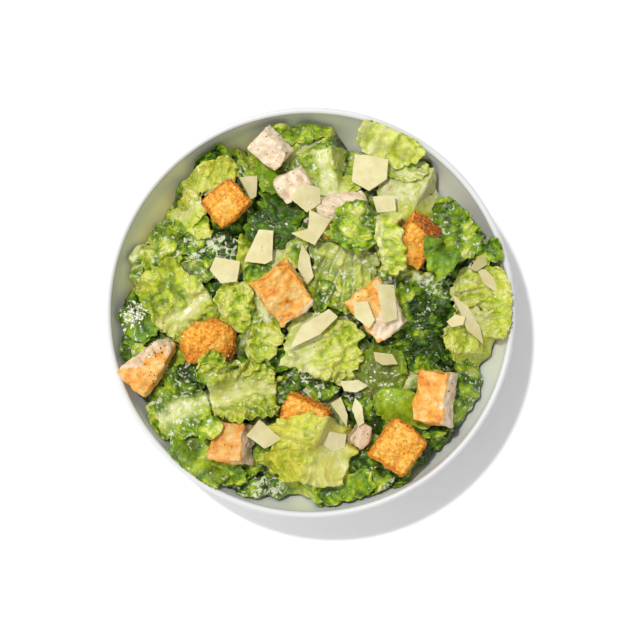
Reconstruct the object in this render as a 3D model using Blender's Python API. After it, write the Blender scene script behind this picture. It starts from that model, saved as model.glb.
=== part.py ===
"""Chicken caesar salad in a round white bowl.

The bowl is one turned solid. The chopped romaine is one heaped solid that follows the bowl's inside
and has a pocket for each topping. Chicken chunks, croutons and cheese shavings are solids of their own.
Metres, +Z up. The origin is the middle of the bowl's foot, on the table; +Y is the far side of the bowl.
"""

import math
import random

import bmesh
import bpy
import numpy as np
from mathutils import Euler, Vector
from mathutils.bvhtree import BVHTree

MM = 0.001

# Bowl, in metres
RIM_RADIUS = 105 * MM
BOWL_HEIGHT = 62 * MM
LIP_THICKNESS = 3.6 * MM
BODY_THICKNESS = 4.4 * MM
FLOOR_RADIUS = 38 * MM
FLOOR_HEIGHT = 6.6 * MM
FOOT_RADIUS = 46 * MM
FOOT_WIDTH = 5 * MM
FOOT_DEPTH = 2.2 * MM
WALL_SWEEP = math.radians(78)  # of the quarter ellipse that the wall follows, so that it flares at the rim
BOWL_SEGMENTS = 72
WALL_STEPS = 7
LIP_STEPS = 3

# Heap of romaine
SHOULDER_HEIGHT = 56 * MM
CROWN_HEIGHT = 66 * MM
HEAP_REACH = 99.3 * MM
HEAP_GAP = 0.6 * MM
HEAP_SECTORS = BOWL_SEGMENTS
HEAP_RINGS = 12
HEAP_FLOOR_RINGS = 5
EDGE_STEEPNESS = 22
EDGE_RUFFLE = 1.6 * MM
# Places where the heap stands back from the wall: direction in degrees, half width in degrees, depth in metres
EDGE_GAPS = (
    (37, 13, 8 * MM),
    (75, 8, 14 * MM),
    (110, 8, 7 * MM),
    (141, 17, 7 * MM),
    (168, 7, 7 * MM),
    (-91, 11, 7.5 * MM),
    (-52, 12, 3 * MM),
    (-30, 13, 4 * MM),
)
LEAF_PLATES = 60
LEAF_RELIEF = 4.2 * MM
GOLDEN_ANGLE = math.pi * (3 - math.sqrt(5))

# Toppings
POCKET_GROWTH = 0.7 * MM
POCKET_DROP = 0.45 * MM
POCKET_RISE = 40 * MM
SHAVING_THICKNESS = 1.3 * MM
TOPPING_CLEARANCE = 0.7 * MM
BOWL_CLEARANCE = 1.2 * MM
STEEPEST_LEAN = 0.35  # rise over run

SEED = 24

# Chunks: name, (x, y) in mm, (length, width, height) in mm, yaw, roll about the length, pitch about the width
# in degrees, how far the middle stands above the leaves in mm, narrowing of the far end, corner rounding
CHICKEN = (
    ("chicken_seared_middle", (-13.5, 9.5), (26, 21.5, 15), -57, 2, 17, 4.5, 0.06, 0.16),
    ("chicken_seared_right", (34, 1), (27, 20, 14), -54, 3, 6, 3.5, 0.12, 0.18),
    ("chicken_peppered_left", (-81.5, -26.5), (28, 15, 13), 48, -6, -14, 4.0, 0.34, 0.2),
    ("chicken_pale_top", (-19.5, 83.5), (18.5, 13, 14), -42, 22, 0, 4.5, 0.04, 0.14),
    ("chicken_folded_top", (16.5, 50.5), (24, 17, 15), 13, 40, 0, 3.0, 0.1, 0.2),
    ("chicken_tall_right", (63.6, -43.6), (26.5, 18, 15), 83, -28, 0, 6.0, 0.06, 0.14),
    ("chicken_grooved_bottom", (-39.5, -66), (20, 18, 15), 84, -24, 0, 4.0, 0.05, 0.2),
    ("chicken_pale_inner", (-8.5, 65.5), (17, 13, 11), 33, 6, 0, 2.0, 0.1, 0.16),
    ("chicken_scrap_low", (25.5, -62), (12, 8.5, 9), 62, 8, 0, 1.0, 0.1, 0.2),
    ("chicken_scrap_high", (69.5, 46.5), (17, 7.5, 12), 82, 18, 0, 2.5, 0.15, 0.2),
)
CROUTONS = (
    ("crouton_upper_left", (-42.5, 55.5), (19.5, 18, 17), 39, -6, 5, 5.5, 0.04, 0.22),
    ("crouton_upper_right", (54, 36.5), (18, 22, 19), -34, 24, 4, 5.5, 0.1, 0.2),
    ("crouton_low_middle", (-2.5, -53.5), (22, 19, 17), -22, 10, -8, 4.5, 0.06, 0.22),
    ("crouton_big_lower_right", (45, -68.6), (21.5, 23, 17), -36, -3, 2, 7.0, 0.03, 0.2),
)
ROUND_CROUTON = ("crouton_round", (-50.8, -15.8), (15.2, 13.2, 11.5), 4.5)

# Shavings: name, (x, y) in mm, yaw in degrees, bend radius in mm, extra height in mm, then the corners in mm
SHAVINGS = (
    ("shaving_shield", (30.5, 71.5), 0, 60, 4, ((-8, 10), (9.5, 6.5), (8.8, -4), (0, -10.5), (-9, -4.5))),
    ("shaving_stub", (37.8, 55), 0, 50, 1.5, ((-6, 4), (5.5, 4.5), (6, -3.5), (-3.5, -4.5))),
    ("shaving_rhomb", (-1.8, 58.5), 0, 45, 3.5, ((-8.3, -0.5), (-1.5, 7.2), (7, 4.5), (7, -3), (0.2, -7.6))),
    ("shaving_notched", (1.8, 43), 0, 45, 2.5, ((-1.5, 9.2), (9, 4.3), (0.6, -9), (-11.5, -3.3), (-3, -0.5))),
    ("shaving_ragged", (-24.4, 33), 0, 60, 1.5, ((-1.5, 9.3), (5.8, 8.6), (5.5, -6.5), (1.5, -8.5), (-9, -7))),
    ("shaving_square_left", (-43, 21.5), 0, 55, 2, ((-5, 6.8), (7.7, 4.5), (6, -5.5), (-2.2, -6.6), (-8, 0.2))),
    ("shaving_tucked", (-31.5, 63.6), 0, 60, 1, ((-5, 5), (4.6, 6.2), (4, -4.5), (1, -6))),
    ("shaving_blade", (-3.4, 25), -78, 30, 2, ((-10.5, 1), (-3, 4), (8, 4), (11, 0), (2, -3.4))),
    ("shaving_on_chicken", (38.4, 4.4), 0, 90, 0.6, ((-5, 9.6), (4, 9.4), (5.6, -7.6), (-1.4, -10))),
    ("shaving_on_chicken_low", (27.6, 0.6), 0, 90, 0.6, ((-5.4, 4.6), (2, 5.5), (5.4, -4), (2.6, -8.4), (-5, -3))),
    ("shaving_spear", (80, -3.2), -57, 70, 5, ((-15.5, 0), (-5, 3.4), (7, 3.4), (15.5, 0.6), (5, -3.2))),
    ("shaving_chip_right", (74.6, -4.2), 10, 50, 2.5, ((-5, 0.5), (0, 3.2), (5, 1), (3, -2.6), (-3, -2.8))),
    ("shaving_edge_right", (90.6, 16.4), -52, 50, 2.5, ((-8, -1), (-5, 2.6), (5, 3.4), (8, 0), (0, -3))),
    ("shaving_square_low", (-23.4, -60.8), 0, 70, 2, ((-9, -1.5), (-2.6, 6.8), (9.2, -3.4), (0.2, -8.2))),
    ("shaving_point_low", (22.4, -37.6), 0, 50, 1.5, ((-7, 2.6), (2, 3.6), (7, 0.2), (1, -3), (-5, -2.4))),
    ("shaving_slim_low", (15.6, -51), -66, 45, 2, ((-7.6, 3.2), (2, 2.8), (7.8, 0), (-6.4, -2.8))),
    ("shaving_curl_low", (24.2, -50.6), -80, 25, 3, ((-7.4, 0), (-3, 2.8), (6, 2.4), (7.4, -1), (-2, -2.6))),
    ("shaving_fan_low", (11.8, -65.2), 0, 60, 6, ((-6.6, -1), (-2.6, 5.2), (6.6, 3.4), (6.2, -3.6), (0, -5.6))),
    ("shaving_long_middle", (1.4, -8.6), 27, 60, 3.5, ((-15, -3.4), (-4, 4.4), (12, 5.6), (14.4, 0), (2, -4))),
    ("shaving_dusky", (38.4, -24), -8, 50, 1, ((-6.6, 3), (3, 3.2), (6.6, -1.6), (-1, -3.2), (-5, -1.4))),
    ("shaving_dusky_right", (85.6, 24.6), 30, 50, 1, ((-5, 0), (0, 2.6), (5, 1.6), (4, -2.4), (-3, -2.6))),
)

WHITE_GLAZE = ("white_glaze", (0.86, 0.86, 0.87), 0.16)
ROMAINE = ("romaine", (0.23, 0.40, 0.10), 0.45)
ROAST_CHICKEN = ("roast_chicken", (0.86, 0.62, 0.36), 0.5)
TOASTED_BREAD = ("toasted_bread", (0.85, 0.47, 0.15), 0.75)
HARD_CHEESE = ("hard_cheese", (0.88, 0.82, 0.58), 0.5)


def material(finish):
    """The named material, made once."""
    name, colour, roughness = finish
    found = bpy.data.materials.get(name)
    if found:
        return found
    made = bpy.data.materials.new(name)
    made.use_nodes = True
    shader = made.node_tree.nodes["Principled BSDF"]
    shader.inputs["Base Color"].default_value = (*colour, 1)
    shader.inputs["Roughness"].default_value = roughness
    return made


def add_object(name, mesh_builder, finish, smooth_angle):
    """One named object from a bmesh, smooth apart from edges sharper than smooth_angle degrees."""
    mesh = bpy.data.meshes.new(name)
    mesh_builder.to_mesh(mesh)
    mesh_builder.free()
    mesh.materials.append(material(finish))
    mesh.shade_smooth()
    mesh.set_sharp_from_angle(angle=math.radians(smooth_angle))
    made = bpy.data.objects.new(name, mesh)
    bpy.context.scene.collection.objects.link(made)
    return made


# ---------------------------------------------------------------- bowl


def inner_wall(share):
    """(radius, height) on the bowl's inside, from the floor's edge at 0 to the rim at 1."""
    sweep = WALL_SWEEP * share
    across = RIM_RADIUS - LIP_THICKNESS - FLOOR_RADIUS
    radius = FLOOR_RADIUS + across * math.sin(sweep) / math.sin(WALL_SWEEP)
    climb = (1 - math.cos(sweep)) / (1 - math.cos(WALL_SWEEP))
    return radius, FLOOR_HEIGHT + (BOWL_HEIGHT - LIP_THICKNESS / 2 - FLOOR_HEIGHT) * climb


WALL_SHARES = [step / WALL_STEPS for step in range(WALL_STEPS + 1)]
INSIDE = [(0, FLOOR_HEIGHT)] + [inner_wall(share) for share in WALL_SHARES]


def inner_height(radius):
    """Height of the bowl's inside at a radius, straight between the corners of its outline."""
    for (near, low), (far, high) in zip(INSIDE, INSIDE[1:]):
        if radius <= far:
            return low + (high - low) * (radius - near) / (far - near)
    return INSIDE[-1][1]


def outward(share):
    """Unit vector (radius, height) that points from the inside of the wall to its outside."""
    step = 0.001
    low, high = inner_wall(share - step), inner_wall(share + step)
    run, rise = high[0] - low[0], high[1] - low[1]
    length = math.hypot(run, rise)
    return rise / length, -run / length


def bowl_profile():
    """The bowl's closed outline in radius and height, from the middle of the floor out and round."""
    lip_half = LIP_THICKNESS / 2
    lip_middle = RIM_RADIUS - lip_half
    lip_base = BOWL_HEIGHT - lip_half
    turns = [math.pi * step / (LIP_STEPS + 1) for step in range(1, LIP_STEPS + 1)]
    lip = [(lip_middle - lip_half * math.cos(t), lip_base + lip_half * math.sin(t)) for t in turns]
    outside = []
    for share in reversed(WALL_SHARES[2:-1]):
        radius, height = inner_wall(share)
        away, up = outward(share)
        thickness = LIP_THICKNESS + (BODY_THICKNESS - LIP_THICKNESS) * (1 - share)
        outside.append((radius + thickness * away, height + thickness * up))
    foot = [
        (FOOT_RADIUS + 1.2 * MM, FOOT_DEPTH),
        (FOOT_RADIUS, 0),
        (FOOT_RADIUS - FOOT_WIDTH, 0),
        (FOOT_RADIUS - FOOT_WIDTH - 0.8 * MM, FOOT_DEPTH),
        (0, FOOT_DEPTH),
    ]
    return [*INSIDE, *lip, (RIM_RADIUS, lip_base), *outside, *foot]


def turned(profile, segments):
    """A closed bmesh made by turning an outline that starts and ends on the axis."""
    made = bmesh.new()
    corners = [made.verts.new((radius, 0, height)) for radius, height in profile]
    edges = [made.edges.new(pair) for pair in zip(corners, corners[1:])]
    bmesh.ops.spin(
        made, geom=corners + edges, cent=(0, 0, 0), axis=(0, 0, 1),
        angle=math.tau, steps=segments, use_merge=True, use_duplicate=False,
    )
    bmesh.ops.remove_doubles(made, verts=made.verts, dist=1e-6)
    bmesh.ops.recalc_face_normals(made, faces=made.faces)
    return made


def make_bowl():
    return add_object("bowl", turned(bowl_profile(), BOWL_SEGMENTS), WHITE_GLAZE, 40)


# ---------------------------------------------------------------- heap of leaves


def angle_between(a, b):
    """Smallest difference of two directions in degrees."""
    return abs((a - b + 180) % 360 - 180)


def heap_edge(direction):
    """Radius at which the heap meets the bowl, by direction in radians."""
    degrees = math.degrees(direction)
    reach = HEAP_REACH + EDGE_RUFFLE * (math.sin(7 * direction + 0.6) + math.sin(11 * direction)) / 2 - EDGE_RUFFLE
    for middle, half_width, depth in EDGE_GAPS:
        nearness = max(0, 1 - angle_between(degrees, middle) / half_width)
        reach -= depth * nearness * nearness * (3 - 2 * nearness)
    return reach


def leaf_plates():
    """Tilted oval plates over the heap, each as big as one piece of leaf, on a sunflower spiral."""
    dice = random.Random(SEED)
    plates = []
    for number in range(LEAF_PLATES):
        radius = HEAP_REACH * math.sqrt((number + 0.5) / LEAF_PLATES)
        direction = number * GOLDEN_ANGLE
        plates.append({
            "middle": Vector((radius * math.cos(direction), radius * math.sin(direction))),
            "turn": dice.uniform(0, math.pi),
            "half": Vector((dice.uniform(15, 22) * MM, dice.uniform(10, 15) * MM)),
            "slope": Vector((dice.uniform(-0.2, 0.2), dice.uniform(-0.2, 0.2))),
            "rise": dice.uniform(0, 1),
        })
    return plates


PLATES = leaf_plates()


def leaf_relief(x, y):
    """Height of the topmost plate over the plain dome, at a point."""
    best = 0
    for plate in PLATES:
        offset = Vector((x, y)) - plate["middle"]
        along = offset.dot(Vector((math.cos(plate["turn"]), math.sin(plate["turn"]))))
        across = offset.dot(Vector((-math.sin(plate["turn"]), math.cos(plate["turn"]))))
        out = math.hypot(along / plate["half"].x, across / plate["half"].y)
        if out < 1.25:
            edge = min(1, (1.25 - out) / 0.3)
            height = LEAF_RELIEF * (0.5 + plate["rise"]) + plate["slope"].x * along + plate["slope"].y * across
            best = max(best, height * edge)
    return best


def heap_top(x, y):
    """Height of the heap's surface at a point."""
    radius = math.hypot(x, y)
    edge = heap_edge(math.atan2(y, x))
    share = min(1, radius / edge)
    dome = CROWN_HEIGHT - (CROWN_HEIGHT - SHOULDER_HEIGHT) * (radius / HEAP_REACH) ** 2
    foot = inner_height(edge) + HEAP_GAP * 3
    body = dome + leaf_relief(x, y) * (1 - share ** 8)
    return foot + (body - foot) * (1 - share ** EDGE_STEEPNESS)


def ring_share(ring):
    """Rings lie closer together towards the heap's edge, where it falls away."""
    return 1 - (1 - ring / HEAP_RINGS) ** 1.4


def heap_mesh():
    """A closed polar grid: the uneven top, then the underside that follows the bowl with a small gap."""
    made = bmesh.new()
    directions = [math.tau * sector / HEAP_SECTORS for sector in range(HEAP_SECTORS)]
    rings = []
    for ring in range(1, HEAP_RINGS + 1):
        row = []
        for direction in directions:
            radius = heap_edge(direction) * ring_share(ring)
            x, y = radius * math.cos(direction), radius * math.sin(direction)
            row.append(made.verts.new((x, y, heap_top(x, y))))
        rings.append(row)
    for ring in range(HEAP_FLOOR_RINGS, 0, -1):
        row = []
        for direction in directions:
            radius = (heap_edge(direction) - HEAP_GAP) * ring / HEAP_FLOOR_RINGS
            height = inner_height(radius + HEAP_GAP) + HEAP_GAP
            row.append(made.verts.new((radius * math.cos(direction), radius * math.sin(direction), height)))
        rings.append(row)
    top = made.verts.new((0, 0, heap_top(0, 0)))
    bottom = made.verts.new((0, 0, FLOOR_HEIGHT + HEAP_GAP))
    for sector in range(HEAP_SECTORS):
        after = (sector + 1) % HEAP_SECTORS
        made.faces.new((top, rings[0][sector], rings[0][after]))
        made.faces.new((bottom, rings[-1][after], rings[-1][sector]))
        for inner, outer in zip(rings, rings[1:]):
            made.faces.new((inner[sector], outer[sector], outer[after], inner[after]))
    bmesh.ops.triangulate(made, faces=made.faces)
    return made


# ---------------------------------------------------------------- toppings


def set_down(topping, where, rise, yaw, roll=0, pitch=0):
    """Places a topping over a point of the heap and turns it; angles in degrees, the rest in mm."""
    x, y = where[0] * MM, where[1] * MM
    topping.location = (x, y, heap_top(x, y) + rise * MM)
    topping.rotation_euler = [math.radians(angle) for angle in (roll, pitch, yaw)]


def corners_of(topping):
    return [topping.matrix_basis @ vert.co for vert in topping.data.vertices]


def touch_points(topping):
    """The corners of a topping, and points along its edges."""
    corners = corners_of(topping)
    shares = (0.25, 0.5, 0.75)
    return corners + [corners[a].lerp(corners[b], share) for a, b in topping.data.edge_keys for share in shares]


def tree_of(topping):
    return BVHTree.FromPolygons(corners_of(topping), [face.vertices for face in topping.data.polygons])


def clear_of_bowl(topping):
    """Raises a topping until no corner of it is nearer the bowl than the gap."""
    need = 0
    for corner in corners_of(topping):
        radius = math.hypot(corner.x, corner.y)
        wall = inner_height(radius) if radius < INSIDE[-1][0] else BOWL_HEIGHT
        need = max(need, wall + BOWL_CLEARANCE - corner.z)
    topping.location.z += need


def add_chunk(spec, finish, unevenness):
    """A cut block with rounded, slightly uneven sides, narrower towards its far end."""
    name, where, size, yaw, roll, pitch, rise, narrowing, rounding = spec
    dice = random.Random(name)
    made = bmesh.new()
    bmesh.ops.create_cube(made, size=2)
    bmesh.ops.subdivide_edges(made, edges=made.edges, cuts=2, use_grid_fill=True)
    half = Vector(size) * 0.5 * MM
    skew = Vector((dice.uniform(-1, 1), dice.uniform(-1, 1))) * unevenness
    for vert in made.verts:
        ball = vert.co.normalized() * math.sqrt(2)
        shape = vert.co.lerp(ball, rounding)
        shape.y *= 1 - narrowing * shape.x
        shape.x += skew.x * shape.z
        shape.y += skew.y * shape.z
        wobble = Vector([dice.uniform(-1, 1) * unevenness for _ in range(3)])
        vert.co = Vector(a * b for a, b in zip(shape + wobble, half))
    chunk = add_object(name, made, finish, 60)
    set_down(chunk, where, rise, yaw, roll, pitch)
    clear_of_bowl(chunk)
    return chunk


def add_round_crouton():
    """A torn, rounded crouton: a ball with broad lumps."""
    name, where, half, rise = ROUND_CROUTON
    dice = random.Random(name)
    lumps = [(Vector([dice.gauss(0, 1) for _ in range(3)]).normalized(), dice.uniform(0.05, 0.16)) for _ in range(9)]
    made = bmesh.new()
    bmesh.ops.create_icosphere(made, subdivisions=2, radius=1)
    for vert in made.verts:
        swell = 0.94 + sum(height * max(0, vert.co.dot(way)) ** 6 for way, height in lumps)
        vert.co = Vector(a * b * MM * swell for a, b in zip(vert.co, half))
    crouton = add_object(name, made, TOASTED_BREAD, 60)
    set_down(crouton, where, rise, yaw=-8, pitch=6)
    clear_of_bowl(crouton)
    return crouton


def highest(x, y, trees):
    """Height of what lies under a point: the heap, or the top of a topping set down before."""
    hits = [tree.ray_cast((x, y, 1), (0, 0, -1))[0] for tree in trees]
    return max([heap_top(x, y)] + [hit.z for hit in hits if hit])


def lean_with_ground(shaving, yaw, trees):
    """Turns a shaving so that it lies along the slope of what is under it, up to the steepest lean."""
    ground = [(p.x, p.y, highest(p.x, p.y, trees)) for p in corners_of(shaving)]
    system = np.array([(x, y, 1) for x, y, _ in ground])
    slope = Vector(np.linalg.lstsq(system, np.array([z for _, _, z in ground]), rcond=None)[0][:2])
    if slope.length > STEEPEST_LEAN:
        slope = slope.normalized() * STEEPEST_LEAN
    lean = Vector((0, 0, 1)).rotation_difference(Vector((-slope.x, -slope.y, 1)))
    shaving.rotation_euler = (lean @ Euler((0, 0, math.radians(yaw))).to_quaternion()).to_euler()


def clear_of_toppings(shaving, lowers, trees):
    """Raises a shaving until it lies free of every topping below it."""
    need = 0
    for point in touch_points(shaving):
        under = highest(point.x, point.y, trees)
        if under > heap_top(point.x, point.y):
            need = max(need, under + TOPPING_CLEARANCE - point.z)
    underside = tree_of(shaving)
    for lower in lowers:
        for point in touch_points(lower):
            hit = underside.ray_cast((point.x, point.y, -1), (0, 0, 1))[0]
            if hit:
                need = max(need, point.z + TOPPING_CLEARANCE - hit.z)
    shaving.location.z += need


def add_shaving(spec, lowers):
    """A thin flake cut from its corners, bent about its width and laid on what is below it."""
    name, where, yaw, bend_radius, rise, corners = spec
    made = bmesh.new()
    made.faces.new([made.verts.new((x * MM, y * MM, 0)) for x, y in corners])
    bmesh.ops.triangulate(made, faces=made.faces)
    bmesh.ops.subdivide_edges(made, edges=made.edges, cuts=1, use_grid_fill=True)
    bmesh.ops.triangulate(made, faces=made.faces)
    for vert in made.verts:
        vert.co.z = -vert.co.x ** 2 / (2 * bend_radius * MM)
    raised = bmesh.ops.extrude_face_region(made, geom=list(made.faces), use_keep_orig=True)
    for part in raised["geom"]:
        if isinstance(part, bmesh.types.BMVert):
            part.co.z += SHAVING_THICKNESS
    bmesh.ops.recalc_face_normals(made, faces=made.faces)
    shaving = add_object(name, made, HARD_CHEESE, 30)
    set_down(shaving, where, rise, yaw)
    trees = [tree_of(lower) for lower in lowers]
    lean_with_ground(shaving, yaw, trees)
    clear_of_toppings(shaving, lowers, trees)
    clear_of_bowl(shaving)
    return shaving


# ---------------------------------------------------------------- pockets and assembly


def add_pocket_cutter(topping):
    """The topping's convex outline, a little bigger, carried straight up out of the heap."""
    corners = corners_of(topping)
    middle = sum(corners, Vector()) / len(corners)
    made = bmesh.new()
    for corner in corners:
        grown = corner + (corner - middle).normalized() * POCKET_GROWTH
        made.verts.new(grown - Vector((0, 0, POCKET_DROP)))
        made.verts.new(grown + Vector((0, 0, POCKET_RISE)))
    hull = bmesh.ops.convex_hull(made, input=made.verts)
    loose = [part for part in hull["geom_interior"] if isinstance(part, bmesh.types.BMVert)]
    bmesh.ops.delete(made, geom=loose, context="VERTS")
    bmesh.ops.recalc_face_normals(made, faces=made.faces)
    cutter = add_object(topping.name + "_pocket", made, ROMAINE, 30)
    cutter.hide_render = True
    cutter.display_type = "WIRE"
    return cutter


def main():
    for obj in list(bpy.data.objects):
        bpy.data.objects.remove(obj)
    make_bowl()
    heap = add_object("romaine_heap", heap_mesh(), ROMAINE, 30)
    toppings = [add_chunk(spec, ROAST_CHICKEN, 0.07) for spec in CHICKEN]
    toppings += [add_chunk(spec, TOASTED_BREAD, 0.05) for spec in CROUTONS]
    toppings.append(add_round_crouton())
    for spec in SHAVINGS:
        toppings.append(add_shaving(spec, toppings))
    for topping in toppings:
        pocket = heap.modifiers.new(topping.name, "BOOLEAN")
        pocket.operation = "DIFFERENCE"
        pocket.object = add_pocket_cutter(topping)


main()
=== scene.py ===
"""Looks of the chicken caesar salad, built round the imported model.

Everything is in metres in the model's frame: +Z up, origin under the middle of the bowl. Sizes that are
easier to read in millimetres are written so and multiplied by MM. Leaves are laid one on another on a height
map, from the bottom up, and everything finer is scattered on what then lies on top.
"""

import math
from contextlib import contextmanager
from dataclasses import dataclass

import bmesh
import bpy
import numpy as np
from mathutils import Matrix, Vector
from mathutils.bvhtree import BVHTree


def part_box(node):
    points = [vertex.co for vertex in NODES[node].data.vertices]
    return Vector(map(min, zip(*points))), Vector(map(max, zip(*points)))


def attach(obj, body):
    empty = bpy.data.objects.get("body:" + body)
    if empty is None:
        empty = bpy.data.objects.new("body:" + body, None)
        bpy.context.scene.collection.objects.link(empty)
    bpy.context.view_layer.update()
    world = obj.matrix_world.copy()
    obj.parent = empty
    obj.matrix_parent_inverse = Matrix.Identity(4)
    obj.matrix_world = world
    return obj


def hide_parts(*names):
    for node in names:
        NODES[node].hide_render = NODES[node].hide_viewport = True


MM = 0.001
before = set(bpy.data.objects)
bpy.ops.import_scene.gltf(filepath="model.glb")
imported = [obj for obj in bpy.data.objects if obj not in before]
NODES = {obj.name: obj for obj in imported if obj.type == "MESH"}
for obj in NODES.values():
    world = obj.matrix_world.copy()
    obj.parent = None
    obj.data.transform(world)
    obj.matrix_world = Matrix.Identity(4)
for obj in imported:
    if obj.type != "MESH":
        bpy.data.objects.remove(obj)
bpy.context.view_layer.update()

# ------------------------------------------------------------------ noise and height maps

HASH_FACTORS = np.array((374761393, 668265263, 1442695041))
HASH_SEED = 974634777
HASH_MIX = 1274126177
HASH_BITS = 0xFFFFFFFF


def lattice(cells, seed):
    """A fixed random value from -1 to 1 for each whole-numbered cell."""
    mixed = (cells @ HASH_FACTORS + seed * HASH_SEED) & HASH_BITS
    mixed = (mixed ^ (mixed >> 13)) * HASH_MIX & HASH_BITS
    return ((mixed ^ (mixed >> 16)) & 0xFFFF) / 32767.5 - 1


def noise(points, size, seed=0):
    """Smooth noise from -1 to 1 with lumps about as large as size."""
    shape = points.shape[:-1]
    scaled = points.reshape(-1, 3) / size + 4096.5 + seed * 0.37
    cells = np.floor(scaled).astype(np.int64)
    part = scaled - cells
    part = part * part * part * (part * (part * 6 - 15) + 10)
    total = np.zeros(len(scaled))
    for corner in np.ndindex(2, 2, 2):
        weight = np.prod(np.where(np.array(corner), part, 1 - part), axis=1)
        total += weight * lattice(cells + np.array(corner), seed)
    return total.reshape(shape)


def fractal(points, size, octaves, seed=0):
    """Noise with finer and fainter noise on top."""
    return sum(noise(points, size / 2**step, seed + 31 * step) / 2**step for step in range(octaves))


def smoothstep(low, high, value):
    share = np.clip((value - low) / (high - low), 0, 1)
    return share * share * (3 - 2 * share)


CELL = 1.0 * MM
MAP_HALF = 112 * MM
MAP_SIDE = int(2 * MAP_HALF / CELL) + 1
# Where a cell's neighbours are in the 3 by 3 block round it.
BESIDE = ((0, 1), (2, 1), (1, 0), (1, 2))
ASKEW = ((0, 0), (2, 2), (2, 0), (0, 2))


def map_place(x, y):
    """Where points lie on the height map, counted in cells."""
    return [np.clip((value + MAP_HALF) / CELL, 0, MAP_SIDE - 1.001) for value in (x, y)]


def look_up(field, x, y):
    """The height map's value at each point, between its four nearest cells."""
    across, along = map_place(x, y)
    i, j = across.astype(int), along.astype(int)
    a, b = across - i, along - j
    near = field[i, j] * (1 - a) + field[i + 1, j] * a
    far = field[i, j + 1] * (1 - a) + field[i + 1, j + 1] * a
    return near * (1 - b) + far * b


def stamp(field, points):
    """Raises the four map cells round each point to its height."""
    flat = points.reshape(-1, 3)
    across, along = (place.astype(int) for place in map_place(flat[:, 0], flat[:, 1]))
    for i, j in np.ndindex(2, 2):
        np.maximum.at(field, (across + i, along + j), flat[:, 2])


def neighbours(field, places):
    """The field as each cell's neighbours at these places have it."""
    edge = np.pad(field, 1, mode="edge")
    rows, columns = field.shape
    return [edge[i:i + rows, j:j + columns] for i, j in places]


def blurred(field, rounds):
    for _ in range(rounds):
        field = (sum(neighbours(field, BESIDE)) + 2 * field) / 6
    return field


def widened(field):
    """The field with each cell as high as the highest of its neighbours."""
    return np.maximum.reduce(neighbours(field, (*BESIDE, *ASKEW, (1, 1))))


# ------------------------------------------------------------------ meshes


def linked(name, data):
    """A new object in the scene with this data."""
    made = bpy.data.objects.new(name, data)
    bpy.context.scene.collection.objects.link(made)
    return made


def look_of(*values):
    """Up to four numbers from 0 to 1 for each point, the missing ones as 0."""
    missing = [values[0] * 0] * (4 - len(values))
    return np.clip(np.stack([*values, *missing], axis=-1), 0, 1)


def set_look(mesh, look):
    """Stores the four numbers of each point, which the materials read."""
    layer = mesh.attributes.new("look", "FLOAT_COLOR", "POINT")
    layer.data.foreach_set("color", np.asarray(look, dtype=np.float32).ravel())


def new_object(name, points, faces, look=None, smooth=True):
    """An object from points and equal-sided faces."""
    mesh = bpy.data.meshes.new(name)
    faces = np.asarray(faces, dtype=np.int32)
    sides = faces.shape[1]
    mesh.vertices.add(len(points))
    mesh.vertices.foreach_set("co", np.asarray(points, dtype=np.float32).ravel())
    mesh.loops.add(faces.size)
    mesh.loops.foreach_set("vertex_index", faces.ravel())
    mesh.polygons.add(len(faces))
    mesh.polygons.foreach_set("loop_start", np.arange(0, faces.size, sides, dtype=np.int32))
    mesh.update(calc_edges=True)
    mesh.validate()
    if look is not None:
        set_look(mesh, look)
    if smooth:
        mesh.shade_smooth()
    return linked(name, mesh)


def mesh_arrays(mesh):
    """(points, normals) of a mesh as arrays."""
    points = np.empty(len(mesh.vertices) * 3)
    mesh.vertices.foreach_get("co", points)
    normals = np.empty(len(mesh.vertices) * 3)
    mesh.vertex_normals.foreach_get("vector", normals)
    return points.reshape(-1, 3), normals.reshape(-1, 3)


def set_points(mesh, points):
    mesh.vertices.foreach_set("co", np.asarray(points, dtype=np.float32).ravel())
    mesh.update()


def quads(index):
    """The four-sided faces of a grid of point numbers."""
    corners = (index[:-1, :-1], index[:-1, 1:], index[1:, 1:], index[1:, :-1])
    return np.stack(corners, axis=-1).reshape(-1, 4)


@contextmanager
def edited(mesh):
    """Opens a mesh for editing and writes it back."""
    shape = bmesh.new()
    shape.from_mesh(mesh)
    shape.verts.ensure_lookup_table()
    yield shape
    shape.to_mesh(mesh)
    shape.free()


def copied(node, name):
    """A new object with a copy of a CAD node's mesh, its corners joined."""
    made = linked(name, NODES[node].data.copy())
    made.data.materials.clear()
    with edited(made.data) as shape:
        bmesh.ops.remove_doubles(shape, verts=shape.verts, dist=1e-6)
    layers = made.data.attributes
    for extra in [layer.name for layer in layers if not layer.is_required and not layer.is_internal]:
        layers.remove(layers[extra])
    return made


def remeshed(node, name, pitch):
    """A copy of a CAD node, remeshed to an even grid of that pitch."""
    made = copied(node, name)
    remesh = made.modifiers.new("remesh", "REMESH")
    remesh.mode = "VOXEL"
    remesh.voxel_size = pitch
    bpy.context.view_layer.update()
    fine = bpy.data.meshes.new_from_object(made.evaluated_get(bpy.context.evaluated_depsgraph_get()))
    made.modifiers.clear()
    made.data = fine
    made.data.name = name
    made.data.shade_smooth()
    return made


def relaxed(mesh, rounds):
    """Rounds a mesh's corners by moving each point halfway towards its neighbours' middle."""
    points, _ = mesh_arrays(mesh)
    ends = np.empty(len(mesh.edges) * 2, dtype=np.int32)
    mesh.edges.foreach_get("vertices", ends)
    ends = ends.reshape(-1, 2)
    count = np.bincount(ends.ravel(), minlength=len(points))[:, None]
    for _ in range(rounds):
        total = np.zeros_like(points)
        np.add.at(total, ends[:, 0], points[ends[:, 1]])
        np.add.at(total, ends[:, 1], points[ends[:, 0]])
        points += (total / count - points) * 0.5
    set_points(mesh, points)
    return mesh_arrays(mesh)


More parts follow.
